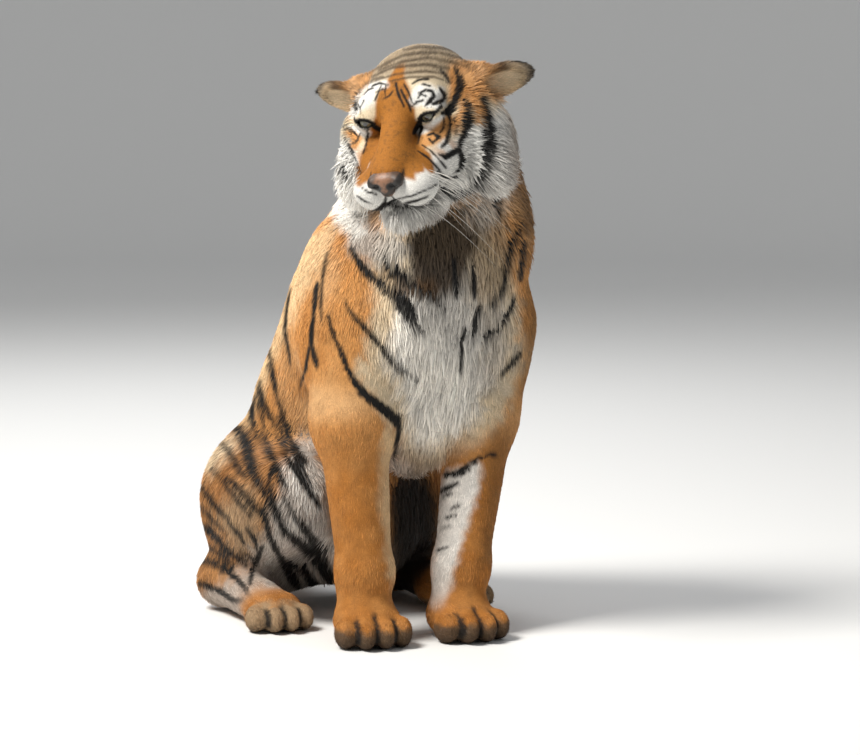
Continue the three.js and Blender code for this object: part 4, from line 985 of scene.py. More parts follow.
def head_base(points, parts):
    """Colours of the head without its stripes."""
    local = HEAD.into(points)
    x, y, z = np.abs(local[:, 0]), local[:, 1], local[:, 2]
    rough = noise(points, 22, 5) * 6

    def spot(at, radii, edge=0.35):
        away = np.linalg.norm((np.stack([x, y, z], 1) - at) / radii, axis=1) + rough / 60
        return 1 - soft(away, 1 - edge, 1 + edge)

    c = plain("cream", len(points))
    c = mix(c, "buff", soft(z + 0.55 * y + rough, 48, 80))
    c = mix(c, "tan", 0.6 * soft(noise(points, 26, 12), -0.2, 0.6) * soft(z + 0.55 * y, 40, 90))
    c = mix(c, "orange", spot((112, 18, 62), (44, 48, 42)) * 0.8)
    c = mix(c, "orange", spot((100, -20, 40), (30, 40, 34)) * 0.7)
    c = mix(c, "white", soft(-z + 0.2 * x + rough, 18, 48))
    c = mix(c, "white", spot((52, -88, 72), (22, 30, 16)) * 0.75)
    c = mix(c, "orange", spot((84, -76, 2), (26, 26, 22)) * 0.85)
    c = mix(c, "orange", spot((70, -100, -26), (26, 30, 18)) * 0.8)
    half = np.interp(z, (-58, -46, -20, 0, 30, 62, 84, 100, 118), (46, 54, 50, 43, 36, 36, 30, 16, 2))
    bridge = (1 - soft(x - half + rough * 0.4, -4, 5)) * soft(-y, 20, 50)
    low = np.interp(x, (0, 34, 60), (-24, -40, -48))
    c = mix(c, "bridge", bridge * soft(z - low + rough * 0.3, -5, 5))
    c = mix(c, "white", soft(low - z - rough * 0.3, 0, 6) * soft(-y, 100, 120))
    c = mix(c, "grey", parts["beard"] * (0.55 + 0.3 * soft(-z, 120, 150)))
    return c


# Strokes on the head seen from in front: each point is (outwards, up, width) in millimetres
EYE_MARKS = (
    ((44, 28, 9), (39, 18, 10), (35, 4, 7), (36, -8, 2)),
    ((73, 40, 8), (84, 47, 7), (92, 56, 4)),
)
CLEFT_MARK = ((0, -62, 4), (0, LIP_MIDDLE, 4))
NOSTRIL_MARK = ((31, -26, 3), (30, -36, 8), (22, -48, 9), (9, -60, 6))


def eye_rims(points, c):
    """Black rims of the lids and the black mark from each inner corner."""
    local = HEAD.into(points)
    for _, s in SIDES:
        away, near = from_lids(local, s)
        if not near.any():
            continue
        # Painted shadow of the upper lid: the black rim is drawn wider above the opening.
        above = soft(local[:, 2] - EYE_AT[2] - s * 0.28 * (local[:, 0] - s * EYE_AT[0]), -3, 3)
        c = mix(c, "black", 1 - soft(away - 3.8 * above, 1.6, 3.8))
        for mark in EYE_MARKS:
            flat = np.array(mark, float) * (s, 1, 1)
            c = mix(c, "black", brush(local[:, (0, 2)], flat, 1.6) * near)
    return c


def mouth_marks(points, c):
    """Dark lips, the cleft under the nose and the black edge of the nostrils."""
    local = HEAD.into(points)
    front = soft(-local[:, 1], 95, 115) * (np.linalg.norm(local - (0, -180, -80), axis=1) < 150)
    c = mix(c, "black", (1 - soft(mouth_away(local), 1.8, 4.2)) * front)
    flat = local[:, (0, 2)]
    c = mix(c, "black", brush(flat, CLEFT_MARK, 1.2) * (local[:, 1] < -200))
    for _, s in SIDES:
        wing = np.array(NOSTRIL_MARK, float) * (s, 1, 1)
        c = mix(c, "black", brush(flat, wing, 1.5) * (local[:, 1] < -195) * 0.9)
    return c


def ear_colours(points, normals, c, share):
    fuzz = noise(points, 12, 13)
    for _, s in SIDES:
        at = HEAD.out(on_side(EAR_AT, s))
        axes = HEAD.axes @ turned(ear_turn(s))
        local = (points - at) @ axes
        mine = share * (np.sign(HEAD.into(points)[:, 0]) == s)
        behind = soft(normals @ axes[:, 1], -0.1, 0.25)
        out = s * local[:, 0] / EAR_RADII[0] + 0.08 * fuzz
        front = plain("pale", len(points))
        front = mix(front, "orange", 0.6 * (1 - soft(out, -0.8, -0.4)))
        cup = 1 - soft(np.hypot((out - 0.05) / 0.75, local[:, 2] / 26), 0.5, 1.0)
        front = mix(front, "fluff", 0.45 + 0.5 * cup)
        rim = np.hypot(out, local[:, 2] / EAR_RADII[2])
        edge = 0.5 * soft(rim, 0.8, 0.95) * soft(out, 0, 0.4)
        front = mix(front, "smoke", 0.4 * soft(out, 0.3, 0.8) + edge)
        patch = soft(local[:, 2], 14, 26) * soft(out, -0.45, -0.2) * (1 - soft(out, 0.25, 0.6))
        front = mix(front, "black", patch)
        back = plain("black", len(points))
        back = mix(back, "tan", 1 - soft(out, -0.9, -0.45))
        spot = np.hypot((out - 0.1) / 0.4, local[:, 2] / 15)
        back = mix(back, "white", 1 - soft(spot, 0.7, 1.0))
        both = front * (1 - behind)[:, None] + back * behind[:, None]
        c = c + (both - c) * mine[:, None]
    return c


def hidden_stripes(points):
    """Bands across the back and the rump, where no drawn stripe reaches."""
    tilt = math.radians(SPINE_TILT)
    spine = np.array((0, math.cos(tilt), -math.sin(tilt)))
    across = np.abs(points[:, 0] - MIDLINE)
    run = points @ spine
    phase = run / 84 + 0.55 * noise(points, 130, 2) + 0.16 * noise(points, 40, 3) - across / 420
    bar = np.abs((phase % 1) - 0.5) * 2
    width = 0.26 + 0.14 * noise(points, 70, 4) - 0.1 * soft(across, 60, 220)
    return soft(width - bar, -0.07, 0.07)


def mirrored_across(points, normals, in_head):
    """Each point and its normal on the other side of the body, or of the head for what is on it."""
    other = points * (-1, 1, 1) + (2 * MIDLINE, 0, 0)
    facing = normals * (-1, 1, 1)
    other[in_head] = HEAD.out(HEAD.into(points[in_head]) * (-1, 1, 1))
    facing[in_head] = (normals[in_head] @ HEAD.axes * (-1, 1, 1)) @ HEAD.axes.T
    return other, facing


class Drawing:
    """Points as they fall on the drawing sheet, and those of the hidden side mirrored onto it."""

    def __init__(self, points, normals, in_head):
        other, facing = mirrored_across(points, normals, in_head)
        self.here, to_viewer = on_sheet(points)
        self.there, other_to_viewer = on_sheet(other)
        self.direct = soft((normals * to_viewer).sum(1), -0.08, 0.06)
        self.mirrored = (1 - self.direct) * soft((facing * other_to_viewer).sum(1), 0.0, 0.15)
        self.unseen = np.clip(1 - self.direct - self.mirrored, 0, 1)
        self.wobble = 0.5 * noise(points, 16, 7) + 0.3 * noise(points, 7, 8) - 0.3

    def cover(self, strokes, edge, doubled=True, widened=1.0):
        """How much of each point the strokes cover. Doubled strokes are on the hidden side as well."""
        covered = np.zeros(len(self.here))
        shake = self.wobble * max(edge, 1)
        for stroke in strokes:
            stroke = np.array(stroke, float) * (1, 1, widened)
            covered = np.maximum(covered, brush(self.here, stroke, edge, shake) * self.direct)
            if doubled:
                covered = np.maximum(covered, brush(self.there, stroke, edge, shake) * self.mirrored)
        return covered


def areas_of(points, parts):
    """How far each point lies in each area of the pattern, from 0 to 1."""
    def share(names, extra=0):
        return np.clip(sum(parts[name] for name in names) + extra, 0, 1)

    upper_arm = parts["foreleg"] * soft(points[:, 2], 300, 400)
    trunk = share(("back", "belly", "chest", "shoulder", "neck"), upper_arm)
    haunch = share(("haunch", "rump", "foot"))
    flank = share(("back", "belly", "chest"), haunch)
    return {
        "head": share(("crown", "face", "muzzle", "beard", "cheek", "ruff", "lid")),
        "throat": np.clip(trunk + parts["ruff"] + 0.6 * parts["beard"], 0, 1),
        "trunk": trunk,
        "flank": flank,
        "between": flank,
        "haunch": haunch,
        "leg": parts["foreleg"],
        "leg and chest": share(("foreleg", "chest")),
        "feet": share(("paw", "toe")),
        "shaggy": share(("chest", "belly", "beard", "neck", "ruff"), 0.5 * parts["back"]),
        "banded": share(("back", "rump", "neck", "haunch")),
    }


def ground_colours(points, normals, parts, areas, drawing):
    """Colours under the stripes: those of each area, then the broad patches."""
    head, haunch = areas["head"], areas["haunch"]
    c = plain("orange", len(points))
    c = mix(c, "pale", 0.35 * soft(noise(points, 60, 9), -0.2, 0.8) * areas["trunk"])
    # Painted shade: the haunch made deeper and duller than the rest, with the deep orange in random
    # blotches.
    c = mix(c, "deep", (0.4 + 0.4 * soft(noise(points, 34, 14), -0.3, 0.8)) * haunch)
    c = mix(c, "smoke", 0.28 * haunch)
    # Painted shade: legs and feet deeper orange low down, darker towards the floor.
    low_leg = np.clip(areas["leg"] + areas["feet"], 0, 1) * soft(-points[:, 2], -460, -280)
    c = mix(c, "deep", (0.8 + 0.35 * noise(points, 26, 14)) * low_leg)
    under = soft(-normals[:, 2], 0.1, 0.6) * soft(points[:, 2], 60, 140)
    c = mix(c, "white", under * (parts["belly"] + parts["chest"]) * 0.7)
    face = head_base(points, parts)
    for name, edge, strength, strokes in HEAD_PATCHES:
        face = mix(face, name, drawing.cover(strokes, edge) * strength)
    c = c * (1 - head[:, None]) + face * head[:, None]
    for place, name, edge, strength, strokes in PATCHES:
        cover = drawing.cover(strokes, edge, doubled=place not in ("throat", "between"))
        c = mix(c, name, cover * areas[place] * strength)
    return c


def ruffled(points, normals, parts, areas, c):
    """Speckles, ripples and strands over the ground colours, and the colours of the ears."""
    head = areas["head"]
    warm = soft(1 - c[:, 2] / c[:, 0], 0.6, 0.8)
    speckle = noise(points, 7, 23) + 0.8 * noise(points, 3, 24)
    c = mix(c, "brown", (0.5 * head + 0.22 * (1 - head)) * warm * soft(speckle, 0.0, 1.2))
    limbs = np.clip(areas["leg"] + areas["feet"] + areas["haunch"], 0, 1)
    c = c * (1 + 0.16 * limbs * noise(points * (1, 1, 2.6), 13, 25))[:, None]
    c = ear_colours(points, normals, c, parts["ear"])
    strand = noise(points * (1, 1, 0.22), 9, 15) + 0.6 * noise(points * (1, 1, 0.3), 4, 16)
    return c * (1 + 0.24 * areas["shaggy"] * strand)[:, None]


def striped(points, areas, drawing, c):
    """The drawn stripes, and bands where none of them reaches."""
    head = areas["head"]
    body = np.clip(areas["trunk"] + areas["haunch"], 0, 1)
    c = mix(c, "black", drawing.cover(TRUNK_STRIPES + HAUNCH_STRIPES, 1.1, widened=1.35) * body)
    c = mix(c, "black", drawing.cover(FORELEG_STRIPES, 1.4) * areas["leg and chest"])
    c = mix(c, "black", drawing.cover(HEAD_STRIPES, 0.8) * head)
    c = mix(c, "dusk", drawing.cover(CROWN_STRIPES, 1.0) * head * 0.8)
    c = mix(c, "black", hidden_stripes(points) * drawing.unseen * areas["banded"])
    run = HEAD.into(points)[:, 1] / 34 + 0.3 * noise(points, 60, 6)
    nape_bar = soft(0.2 - np.abs(run % 1 - 0.5), -0.05, 0.05)
    return mix(c, "black", nape_bar * drawing.unseen * head * 0.8)


def markings(points, normals, parts):
    """Colour of skin and coat at each point."""
    areas = areas_of(points, parts)
    drawing = Drawing(points, normals, (areas["head"] + parts["ear"]) > 0.5)
    c = ground_colours(points, normals, parts, areas, drawing)
    c = ruffled(points, normals, parts, areas, c)
    c = striped(points, areas, drawing, c)
    c = mouth_marks(points, eye_rims(points, c))
    c = tail_rings(points, c, parts["tail"])
    return np.clip(paw_colours(points, c, areas["feet"]), 0, 1)


def tail_rings(points, c, share):
    route = smooth_curve(TAIL_POINTS, 120)
    lengths = np.concatenate([[0], np.cumsum(np.linalg.norm(np.diff(route, axis=0), axis=1))])
    chosen = np.flatnonzero(share > 0.02)
    if not len(chosen):
        return c
    away = ((points[chosen, None] - route[None]) ** 2).sum(2)
    nearest = away.argmin(1)
    run = lengths[nearest] + 9 * noise(points[chosen], 30, 11)
    ring = soft(0.21 - np.abs((run / 92) % 1 - 0.5), -0.03, 0.03)
    tip = soft(run, lengths[-1] - 75, lengths[-1] - 55)
    below = soft(-(points[chosen, 2] - route[nearest, 2]), 5, 30)
    part = mix(plain("orange", len(chosen)), "white", 0.3 + below * 0.5)
    part = mix(part, "black", np.maximum(ring, tip))
    c = c.copy()
    c[chosen] += (part - c[chosen]) * share[chosen, None]
    return c


def paw_places():
    """Each paw's frame, the places between its toes, and how high and in what colour its toes fade."""
    for name, sign in SIDES:
        yield fore_place(LEGS[name]), (-34.5, 0, 34.5), 40, "toe"
        yield hind_place(LEGS[name], sign), (-31, 0, 31), 58, "tan"


def paw_colours(points, c, share):
    """Grey toes, darker towards the floor, with dark slits between them: painted shade."""
    ragged = noise(points, 10, 17) * 7
    for place, slits, top, name in paw_places():
        local = place.into(points)
        x, y, z = np.abs(local[:, 0]), local[:, 1], local[:, 2]
        near = share * (x < 110) * (y > -130) * (y < 110)
        low = soft(top - z + ragged, -4, 12)
        c = mix(c, name, near * np.maximum(low * soft(-y, 10, 34), soft(24 - z, 0, 12)) * 0.85)
        # Painted shade: the toes darken towards the floor.
        c = mix(c, "dusk", near * soft(24 - z + ragged, 0, 22) * 0.6)
        # Painted shade: black slits in the creases between the toes.
        for at in slits:
            slit = (1 - soft(np.abs(local[:, 0] - at), 2.5, 6.5)) * soft(-y, 40, 56) * soft(z, 8, 14)
            c = mix(c, "black", near * slit * 0.95)
    return c


# ---------------- the lie and length of the coat
HEARD_WITHIN = 60  # a form has a say in the lie of the hair no further than this from its skin
NEARBY = 11  # how quickly that say fades with distance, millimetres
# Hair of each part: length and width of a tuft in millimetres, lift from the skin in degrees
HAIR = {
    "back": (30, 4.0, 14), "rump": (32, 4.0, 14), "belly": (52, 5.2, 22), "chest": (52, 4.6, 19),
    "shoulder": (22, 3.4, 13), "neck": (48, 4.6, 26), "crown": (18, 2.4, 17), "face": (9, 1.6, 13),
    "muzzle": (8, 1.5, 16), "beard": (46, 3.4, 24), "cheek": (36, 2.8, 30), "ruff": (62, 3.8, 34),
    "lid": (4.5, 0.95, 12), "ear": (14, 1.9, 20), "foreleg": (16, 2.9, 12), "paw": (14, 2.4, 15),
    "toe": (12, 2.1, 17), "haunch": (26, 3.8, 14), "foot": (16, 2.9, 12), "tail": (32, 4.2, 15),
}
PARTS = tuple(HAIR)


def read_forms(points):
    """Share of each part at each point, and the way the hair runs there."""
    closest = np.full(len(points), FAR)
    heard = list(reached(BODY, points, HEARD_WITHIN))
    for _, near, d in heard:
        closest[near] = np.minimum(closest[near], d)
    total = np.zeros(len(points))
    lie = np.zeros((len(points), 3))
    shares = {part: np.zeros(len(points)) for part in PARTS}
    for form, near, d in heard:
        weight = np.exp(-np.minimum((d - closest[near]) / NEARBY, 40))
        kind, vector = form.lie
        way = np.array(vector, float) if kind == "to" else points[near] - np.array(vector, float)
        lie[near] += weight[:, None] * unit(np.broadcast_to(way, (len(near), 3)))
        total[near] += weight
        shares[form.part][near] += weight
    total = np.maximum(total, 1e-9)
    return {part: share / total for part, share in shares.items()}, unit(lie)


def put_attribute(mesh, name, values, kind="FLOAT"):
    layer = mesh.attributes.new(name, kind, "POINT")
    slot = {"FLOAT": "value", "FLOAT_VECTOR": "vector", "FLOAT_COLOR": "color"}[kind]
    layer.data.foreach_set(slot, np.asarray(values, np.float32).ravel())


def put_markings(mesh, colours):
    put_attribute(mesh, "markings", np.c_[colours, np.ones(len(colours))], "FLOAT_COLOR")


def read_vectors(mesh, name):
    """A vector attribute of every vertex."""
    values = np.empty(len(mesh.vertices) * 3, np.float32)
    mesh.attributes[name].data.foreach_get("vector", values)
    return values.reshape(-1, 3).astype(float)


def read_points(mesh, name="position"):
    """The vertices, or the places an attribute holds, in the tiger's frame and millimetres."""
    return (read_vectors(mesh, name) - SHIFT) / MM


SKIN_STEP = 9.8  # cells of the skin far from the head, millimetres
SKIN_FINEST = 0.25  # share of that at the nose
SKIN_LOW = (-330, -640, -60)  # corners of the box that the skin is looked for in
SKIN_HIGH = (600, 760, 1130)
SKIN_SPREAD = 560  # how far from the nose the finer cells reach


def make_skin():
    """One closed surface for the whole body, with the lie of the hair and the markings on it."""
    warp = magnified(HEAD.out((0, -120, 0)), SKIN_FINEST, SKIN_SPREAD)
    margin = (1 - SKIN_FINEST) * SKIN_SPREAD
    low, high = np.array(SKIN_LOW) - margin, np.array(SKIN_HIGH) + margin
    points, quads = surface_net(skin_field, low, high, SKIN_STEP, warp)
    normals = unit(slope_of(skin_field, points, 1.5))
    parts, lie = read_forms(points)
    lie += 0.22 * np.stack([noise(points, 45, seed) for seed in (21, 22, 23)], 1)
    lie += 0.14 * np.stack([noise(points, 14, seed) for seed in (24, 25, 26)], 1)
    lie = unit(lie - (lie * normals).sum(1, keepdims=True) * normals)
    skin = mesh_object("skin", points, quads)
    length, width, lift = (sum(parts[p] * HAIR[p][i] for p in PARTS) for i in range(3))
    mesh = skin.data
    put_attribute(mesh, "outward", normals, "FLOAT_VECTOR")
    put_attribute(mesh, "lie", lie, "FLOAT_VECTOR")
    put_attribute(mesh, "hair_length", length * MM)
    put_attribute(mesh, "hair_width", width * MM)
    put_attribute(mesh, "hair_lift", np.radians(lift))
    put_markings(mesh, markings(points, normals, parts))
    mesh.materials.append(skin_material())
    unwrap(skin)
    return skin


def bare_share(points):
    """0 where no hair grows: soles, lid edges, bed of the nose and the line of the mouth."""
    local = HEAD.into(points)
    share = soft(points[:, 2], 1.5, 5)
    for _, s in SIDES:
        share = share * soft(from_lids(local, s)[0], 1.2, 3.0)
    nose = np.linalg.norm((local - (0, -224, -40)) / (33, 24, 22), axis=1)
    share = share * soft(nose, 0.95, 1.1)
    near = (np.linalg.norm(local - (0, -180, -80), axis=1) < 140) & (local[:, 1] < -120)
    away = np.where(near, mouth_away(local), FAR)
    return share * soft(away, 1.2, 3.2)


# ---------------- tufts
def tuft_mesh(name, rings):
    """A closed spike along +Y, one unit long, with a three-sided section at each ring but the tip."""
    points, along, faces = [], [], []
    section = ((-0.5, 0.0), (0.5, 0.0), (0.0, 0.34))
    for at, width in rings:
        points += [(x * width, at, z * width) for x, z in section]
        along += [at] * 3
    points.append((0, 1, 0))
    along.append(1)
    tip = len(points) - 1
    faces.append((0, 1, 2))
    for ring in range(len(rings) - 1):
        for side in range(3):
            a, b = ring * 3 + side, ring * 3 + (side + 1) % 3
            faces += [(b, a, a + 3), (b, a + 3, b + 3)]
    last = (len(rings) - 1) * 3
    faces += [(last + (side + 1) % 3, last + side, tip) for side in range(3)]
    mesh = bpy.data.meshes.new(name)
    mesh.from_pydata(points, [], faces)
    put_attribute(mesh, "along", along)
    layer = mesh.attributes.new("tuft_uv", "FLOAT2", "CORNER")
    flat = []
    for polygon in mesh.polygons:
        for vertex in polygon.vertices:
            x, y, z = points[vertex]
            flat += [0.5 + 0.8 * x + 0.3 * z, y]
    layer.data.foreach_set("vector", np.array(flat, np.float32))
    return new_object(name, mesh)


class Wiring:
    """A node tree being wired up. An input is fed by another node's output or by a plain value."""

    def __init__(self, tree):
        self.tree = tree

    def feed(self, node, feeds):
        for key, value in dict(feeds).items():
            if isinstance(value, bpy.types.NodeSocket):
                self.tree.links.new(value, node.inputs[key])
            else:
                node.inputs[key].default_value = value

    def add(self, kind, feeds=(), **settings):
        """A new node. Its settings come first, because they decide which inputs it has."""
        node = self.tree.nodes.new(kind)
        for key, value in settings.items():
            setattr(node, key, value)
        self.feed(node, feeds)
        return node

    def out(self, kind, feeds=(), **settings):
        """The first output in use of a new node."""
        return next(o for o in self.add(kind, feeds, **settings).outputs if o.enabled)

    def times(self, first, *others):
        for other in others:
            first = self.out("ShaderNodeMath", {0: first, 1: other}, operation="MULTIPLY")
        return first

    def scaled(self, vector, amount):
        return self.out("ShaderNodeVectorMath", {0: vector, "Scale": amount}, operation="SCALE")

    def plus(self, a, b):
        return self.out("ShaderNodeVectorMath", {0: a, 1: b}, operation="ADD")


class TuftWiring(Wiring):
    """Wiring with the nodes that only geometry has."""

    def read(self, name, kind="FLOAT"):
        return self.out("GeometryNodeInputNamedAttribute", {"Name": name}, data_type=kind)

    def store(self, geometry, name, value, kind="FLOAT", domain="POINT"):
        feeds = {"Geometry": geometry, "Name": name}
        node = self.add("GeometryNodeStoreNamedAttribute", feeds, data_type=kind, domain=domain)
        self.tree.links.new(value, next(i for i in node.inputs if i.enabled and i.name == "Value"))
        return node.outputs[0]

    def random(self, low, high, seed, offset):
        shifted = self.out("ShaderNodeMath", {0: seed, 1: offset}, operation="ADD")
        node = self.add("FunctionNodeRandomValue", {"Seed": shifted}, data_type="FLOAT")
        least, most = [i for i in node.inputs if i.enabled][:2]
        least.default_value, most.default_value = low, high
        return next(o for o in node.outputs if o.enabled)


PATCH = 0.003  # size of one tuft's patch on the unwrap of the skin
ROOT_DEPTH = 0.0012  # how far a tuft starts below the skin, metres
BEND_BACK = -0.55  # how much of its lift a tuft loses towards its tip
COAT_INPUTS = (
    ("Geometry", "Geometry"), ("Density", "Float"), ("Seed", "Int"), ("Tuft", "Object"),
    ("Length", "Float"), ("Width", "Float"), ("Droop", "Float"),
)


def lean(wire, outward, seed, lift):
    """Turn of each tuft: along the lie of the hair, lifted from the skin, a little astray."""
    align = "FunctionNodeAlignRotationToVector"
    upright = wire.out(align, {"Vector": outward}, axis="Z")
    feeds = {"Rotation": upright, "Vector": wire.read("lie", "FLOAT_VECTOR")}
    facing = wire.out(align, feeds, axis="Y", pivot_axis="Z")
    twist, astray = wire.random(-0.5, 0.5, seed, 12), wire.random(-0.16, 0.16, seed, 13)
    angles = wire.out("ShaderNodeCombineXYZ", {"X": lift, "Y": twist, "Z": astray})
    feeds = {"Rotation": facing, "Rotate By": wire.out("FunctionNodeEulerToRotation", {0: angles})}
    return wire.out("FunctionNodeRotateRotation", feeds, rotation_space="LOCAL")


def coat_tree(fur):
    """Tufts scattered over the skin, laid along the hair's way, joined into one mesh and bent."""
    tree = bpy.data.node_groups.new("coat of tufts", "GeometryNodeTree")
    tree.is_modifier = True
    for name, kind in COAT_INPUTS:
        tree.interface.new_socket(name, in_out="INPUT", socket_type=f"NodeSocket{kind}")
    tree.interface.new_socket("Geometry", in_out="OUTPUT", socket_type="NodeSocketGeometry")
    wire = TuftWiring(tree)
    given = wire.add("NodeGroupInput").outputs
    seed = given["Seed"]
    outward = wire.read("outward", "FLOAT_VECTOR")
    density = wire.times(wire.read("cover"), given["Density"])
    feeds = {"Mesh": given["Geometry"], "Density": density, "Seed": seed}
    roots = wire.out("GeometryNodeDistributePointsOnFaces", feeds, distribute_method="RANDOM")

    lift = wire.times(wire.read("hair_lift"), wire.random(0.5, 1.5, seed, 11))
    turn = lean(wire, outward, seed, lift)
    length = wire.times(wire.read("hair_length"), given["Length"], wire.random(0.65, 1.2, seed, 14))
    width = wire.times(wire.read("hair_width"), given["Width"], wire.random(0.75, 1.3, seed, 15))
    scale = wire.out("ShaderNodeCombineXYZ", {"X": width, "Y": length, "Z": width})
    roots = wire.store(roots, "tuft_length", length)
    roots = wire.store(roots, "tuft_lift", lift)
    roots = wire.store(roots, "tint", wire.random(0, 1, seed, 16))
    roots = wire.store(roots, "root_at", wire.out("GeometryNodeInputPosition"), "FLOAT_VECTOR")
    feeds = {"Geometry": roots, "Offset": wire.scaled(outward, -ROOT_DEPTH)}
    sunk = wire.out("GeometryNodeSetPosition", feeds)
    feeds = {"Object": given["Tuft"], "As Instance": True}
    model = wire.add("GeometryNodeObjectInfo", feeds, transform_space="ORIGINAL").outputs["Geometry"]
    feeds = {"Points": sunk, "Instance": model, "Rotation": turn, "Scale": scale}
    real = wire.out("GeometryNodeRealizeInstances", {0: wire.out("GeometryNodeInstanceOnPoints", feeds)})

    along = wire.read("along")
    reach = wire.times(wire.read("tuft_length"), wire.times(along, along))
    bend = wire.scaled(outward, wire.times(reach, wire.times(wire.read("tuft_lift"), BEND_BACK)))
    down = wire.out("ShaderNodeCombineXYZ", {"Z": -1})
    fall = wire.scaled(down, wire.times(reach, given["Droop"]))
    feeds = {"Geometry": real, "Offset": wire.plus(bend, fall)}
    bent = wire.out("GeometryNodeSetPosition", feeds)
    own = wire.scaled(wire.read("tuft_uv", "FLOAT_VECTOR"), PATCH)
    patch = wire.plus(wire.read("root_uv", "FLOAT_VECTOR"), own)
    unwrapped = wire.store(bent, "OFBake", patch, "FLOAT2", "CORNER")
    feeds = {"Geometry": unwrapped, "Material": fur}
    wire.add("NodeGroupOutput", {0: wire.out("GeometryNodeSetMaterial", feeds)})
    return tree


SCRAP = (
    "root_at", "outward", "lie", "hair_length", "hair_width", "hair_lift", "tuft_length", "tuft_lift",
    "root_uv", "tuft_uv",
)
LOWER, UPPER = 0.55, 0.92  # how far along a tuft its two colours are read


def paint_tufts(mesh, corners):
    """Gives each tuft the colours of the markings where its middle and its tip lie."""
    tips = read_points(mesh)[corners - 1::corners]
    roots = read_points(mesh, "root_at")[::corners]
    normals = unit(read_vectors(mesh, "outward")[::corners])
    parts, _ = read_forms(roots)
    colours = np.empty((len(roots), corners, 3))
    colours[:, :-1] = markings(roots + LOWER * (tips - roots), normals, parts)[:, None]
    colours[:, -1] = markings(roots + UPPER * (tips - roots), normals, parts)
    mesh.attributes.remove(mesh.attributes["markings"])
    put_markings(mesh, colours.reshape(-1, 3))


def grow_coat(skin, tree, settings, name, cover, tufts, seed, tuft, droop):
    """One piece of the coat. cover says how densely each point of the skin is grown, tufts how many."""
    mesh = skin.data
    put_attribute(mesh, "cover", cover)
    corners = np.empty(len(mesh.loops), np.int32)
    mesh.loops.foreach_get("vertex_index", corners)
    areas = np.empty(len(mesh.polygons))
    mesh.polygons.foreach_get("area", areas)
    grown = (areas * cover[corners.reshape(-1, 4)].mean(1)).sum()
    source = new_object(name, mesh)
    modifier = source.modifiers.new("coat", "NODES")
    modifier.node_group = tree
    values = {
        "Density": tufts * settings.fullness / grown, "Seed": settings.seed + seed, "Tuft": tuft,
        "Length": settings.length, "Width": settings.thickness, "Droop": droop,
    }
    for socket in tree.interface.items_tree:
        if socket.name in values:
            modifier[socket.identifier] = values[socket.name]
    evaluated = source.evaluated_get(bpy.context.evaluated_depsgraph_get())
    made = bpy.data.meshes.new_from_object(evaluated)
    bpy.data.objects.remove(source)
    mesh.attributes.remove(mesh.attributes["cover"])
    paint_tufts(made, len(tuft.data.vertices))
    for scrap in SCRAP:
        if scrap in made.attributes:
            made.attributes.remove(made.attributes[scrap])
    made.name = name
    made.materials.clear()
    return new_object(name, made)


COATS = (
    # Name, parts of the body, number of tufts, whether they are the long ones, how far they droop
    ("coat_face", ("face", "lid"), 33000, False, 0.0),
    ("coat_muzzle", ("muzzle",), 13000, False, 0.0),
    ("coat_crown", ("crown", "ear"), 30000, False, 0.0),
    ("coat_cheeks", ("cheek", "ruff"), 13500, True, 0.10),
    ("coat_beard", ("beard",), 8500, True, 0.10),
    ("coat_neck", ("neck",), 12500, True, 0.06),
    ("coat_chest", ("chest",), 14500, True, 0.06),
    ("coat_shoulders", ("shoulder",), 29000, False, 0.0),
    ("coat_back", ("back",), 36000, False, 0.0),
    ("coat_belly", ("belly",), 5500, True, 0.1),
    ("coat_haunches", ("haunch", "rump"), 35000, False, 0.0),
    ("coat_forelegs", ("foreleg",), 30000, False, 0.0),
    ("coat_feet", ("paw", "toe", "foot"), 26000, False, 0.0),
    ("coat_tail", ("tail",), 14000, False, 0.0),
)


def make_coat(skin, settings):
    """All pieces of the coat, grown on the skin."""
    points = read_points(skin.data)
    parts, _ = read_forms(points)
    bare = bare_share(points)
    short = tuft_mesh("short tuft", ((0.0, 1.0),))
    long = tuft_mesh("long tuft", ((0.0, 0.55), (0.42, 1.0)))
    fur = hair_material()
    tree = coat_tree(fur)
    for number, (name, grown, tufts, is_long, droop) in enumerate(COATS, 1):
        cover = bare * sum(parts[part] for part in grown)
        cover[cover < 0.01] = 0
        tuft = long if is_long else short
        piece = grow_coat(skin, tree, settings, name, cover, tufts, number, tuft, droop)
        piece.data.materials.append(fur)
        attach(piece, "root")
    for tuft in (short, long):
        bpy.data.objects.remove(tuft)


# ---------------- materials
class Finish(Wiring):
    """A material being wired up round its shader."""

    def __init__(self, name):
        self.material = bpy.data.materials.new(name)
        self.material.use_nodes = True
        super().__init__(self.material.node_tree)

    def shade(self, **values):
        """Feeds the shader's inputs and returns the finished material. Underscores stand for spaces."""
        shader = self.tree.nodes["Principled BSDF"]
        self.feed(shader, {key.replace("_", " "): value for key, value in values.items()})
        return self.material

    def value(self, name):
        return self.add("ShaderNodeAttribute", attribute_name=name).outputs["Fac"]

    def markings(self):
        return self.add("ShaderNodeAttribute", attribute_name="markings").outputs["Color"]

    def ranged(self, value, low, high):
        return self.out("ShaderNodeMapRange", {"Value": value, "To Min": low, "To Max": high})

    def grain(self, kind, **feeds):
        """A pattern that fills the space round the object."""
        feeds["Vector"] = self.add("ShaderNodeTexCoord").outputs["Object"]
        return self.out(kind, feeds)

    def bump(self, height, strength, distance):
        feeds = {"Strength": strength, "Distance": distance, "Height": height}
        return self.out("ShaderNodeBump", feeds)


def hair_material():
    """Fur: the markings, darker at the root, a little different from tuft to tuft."""
    fur = Finish("tuft")
    # Painted shade deep in the coat: each tuft darker at its root and a little brighter towards its tip.
    root = fur.ranged(fur.value("along"), 0.4, 1.14)
    vary = fur.ranged(fur.value("tint"), 0.68, 1.24)
    colour = fur.scaled(fur.markings(), fur.times(root, vary))
    return fur.shade(
        Base_Color=colour, Roughness=0.6, Specular_IOR_Level=0.22, Sheen_Weight=0.05, Sheen_Roughness=0.4
    )


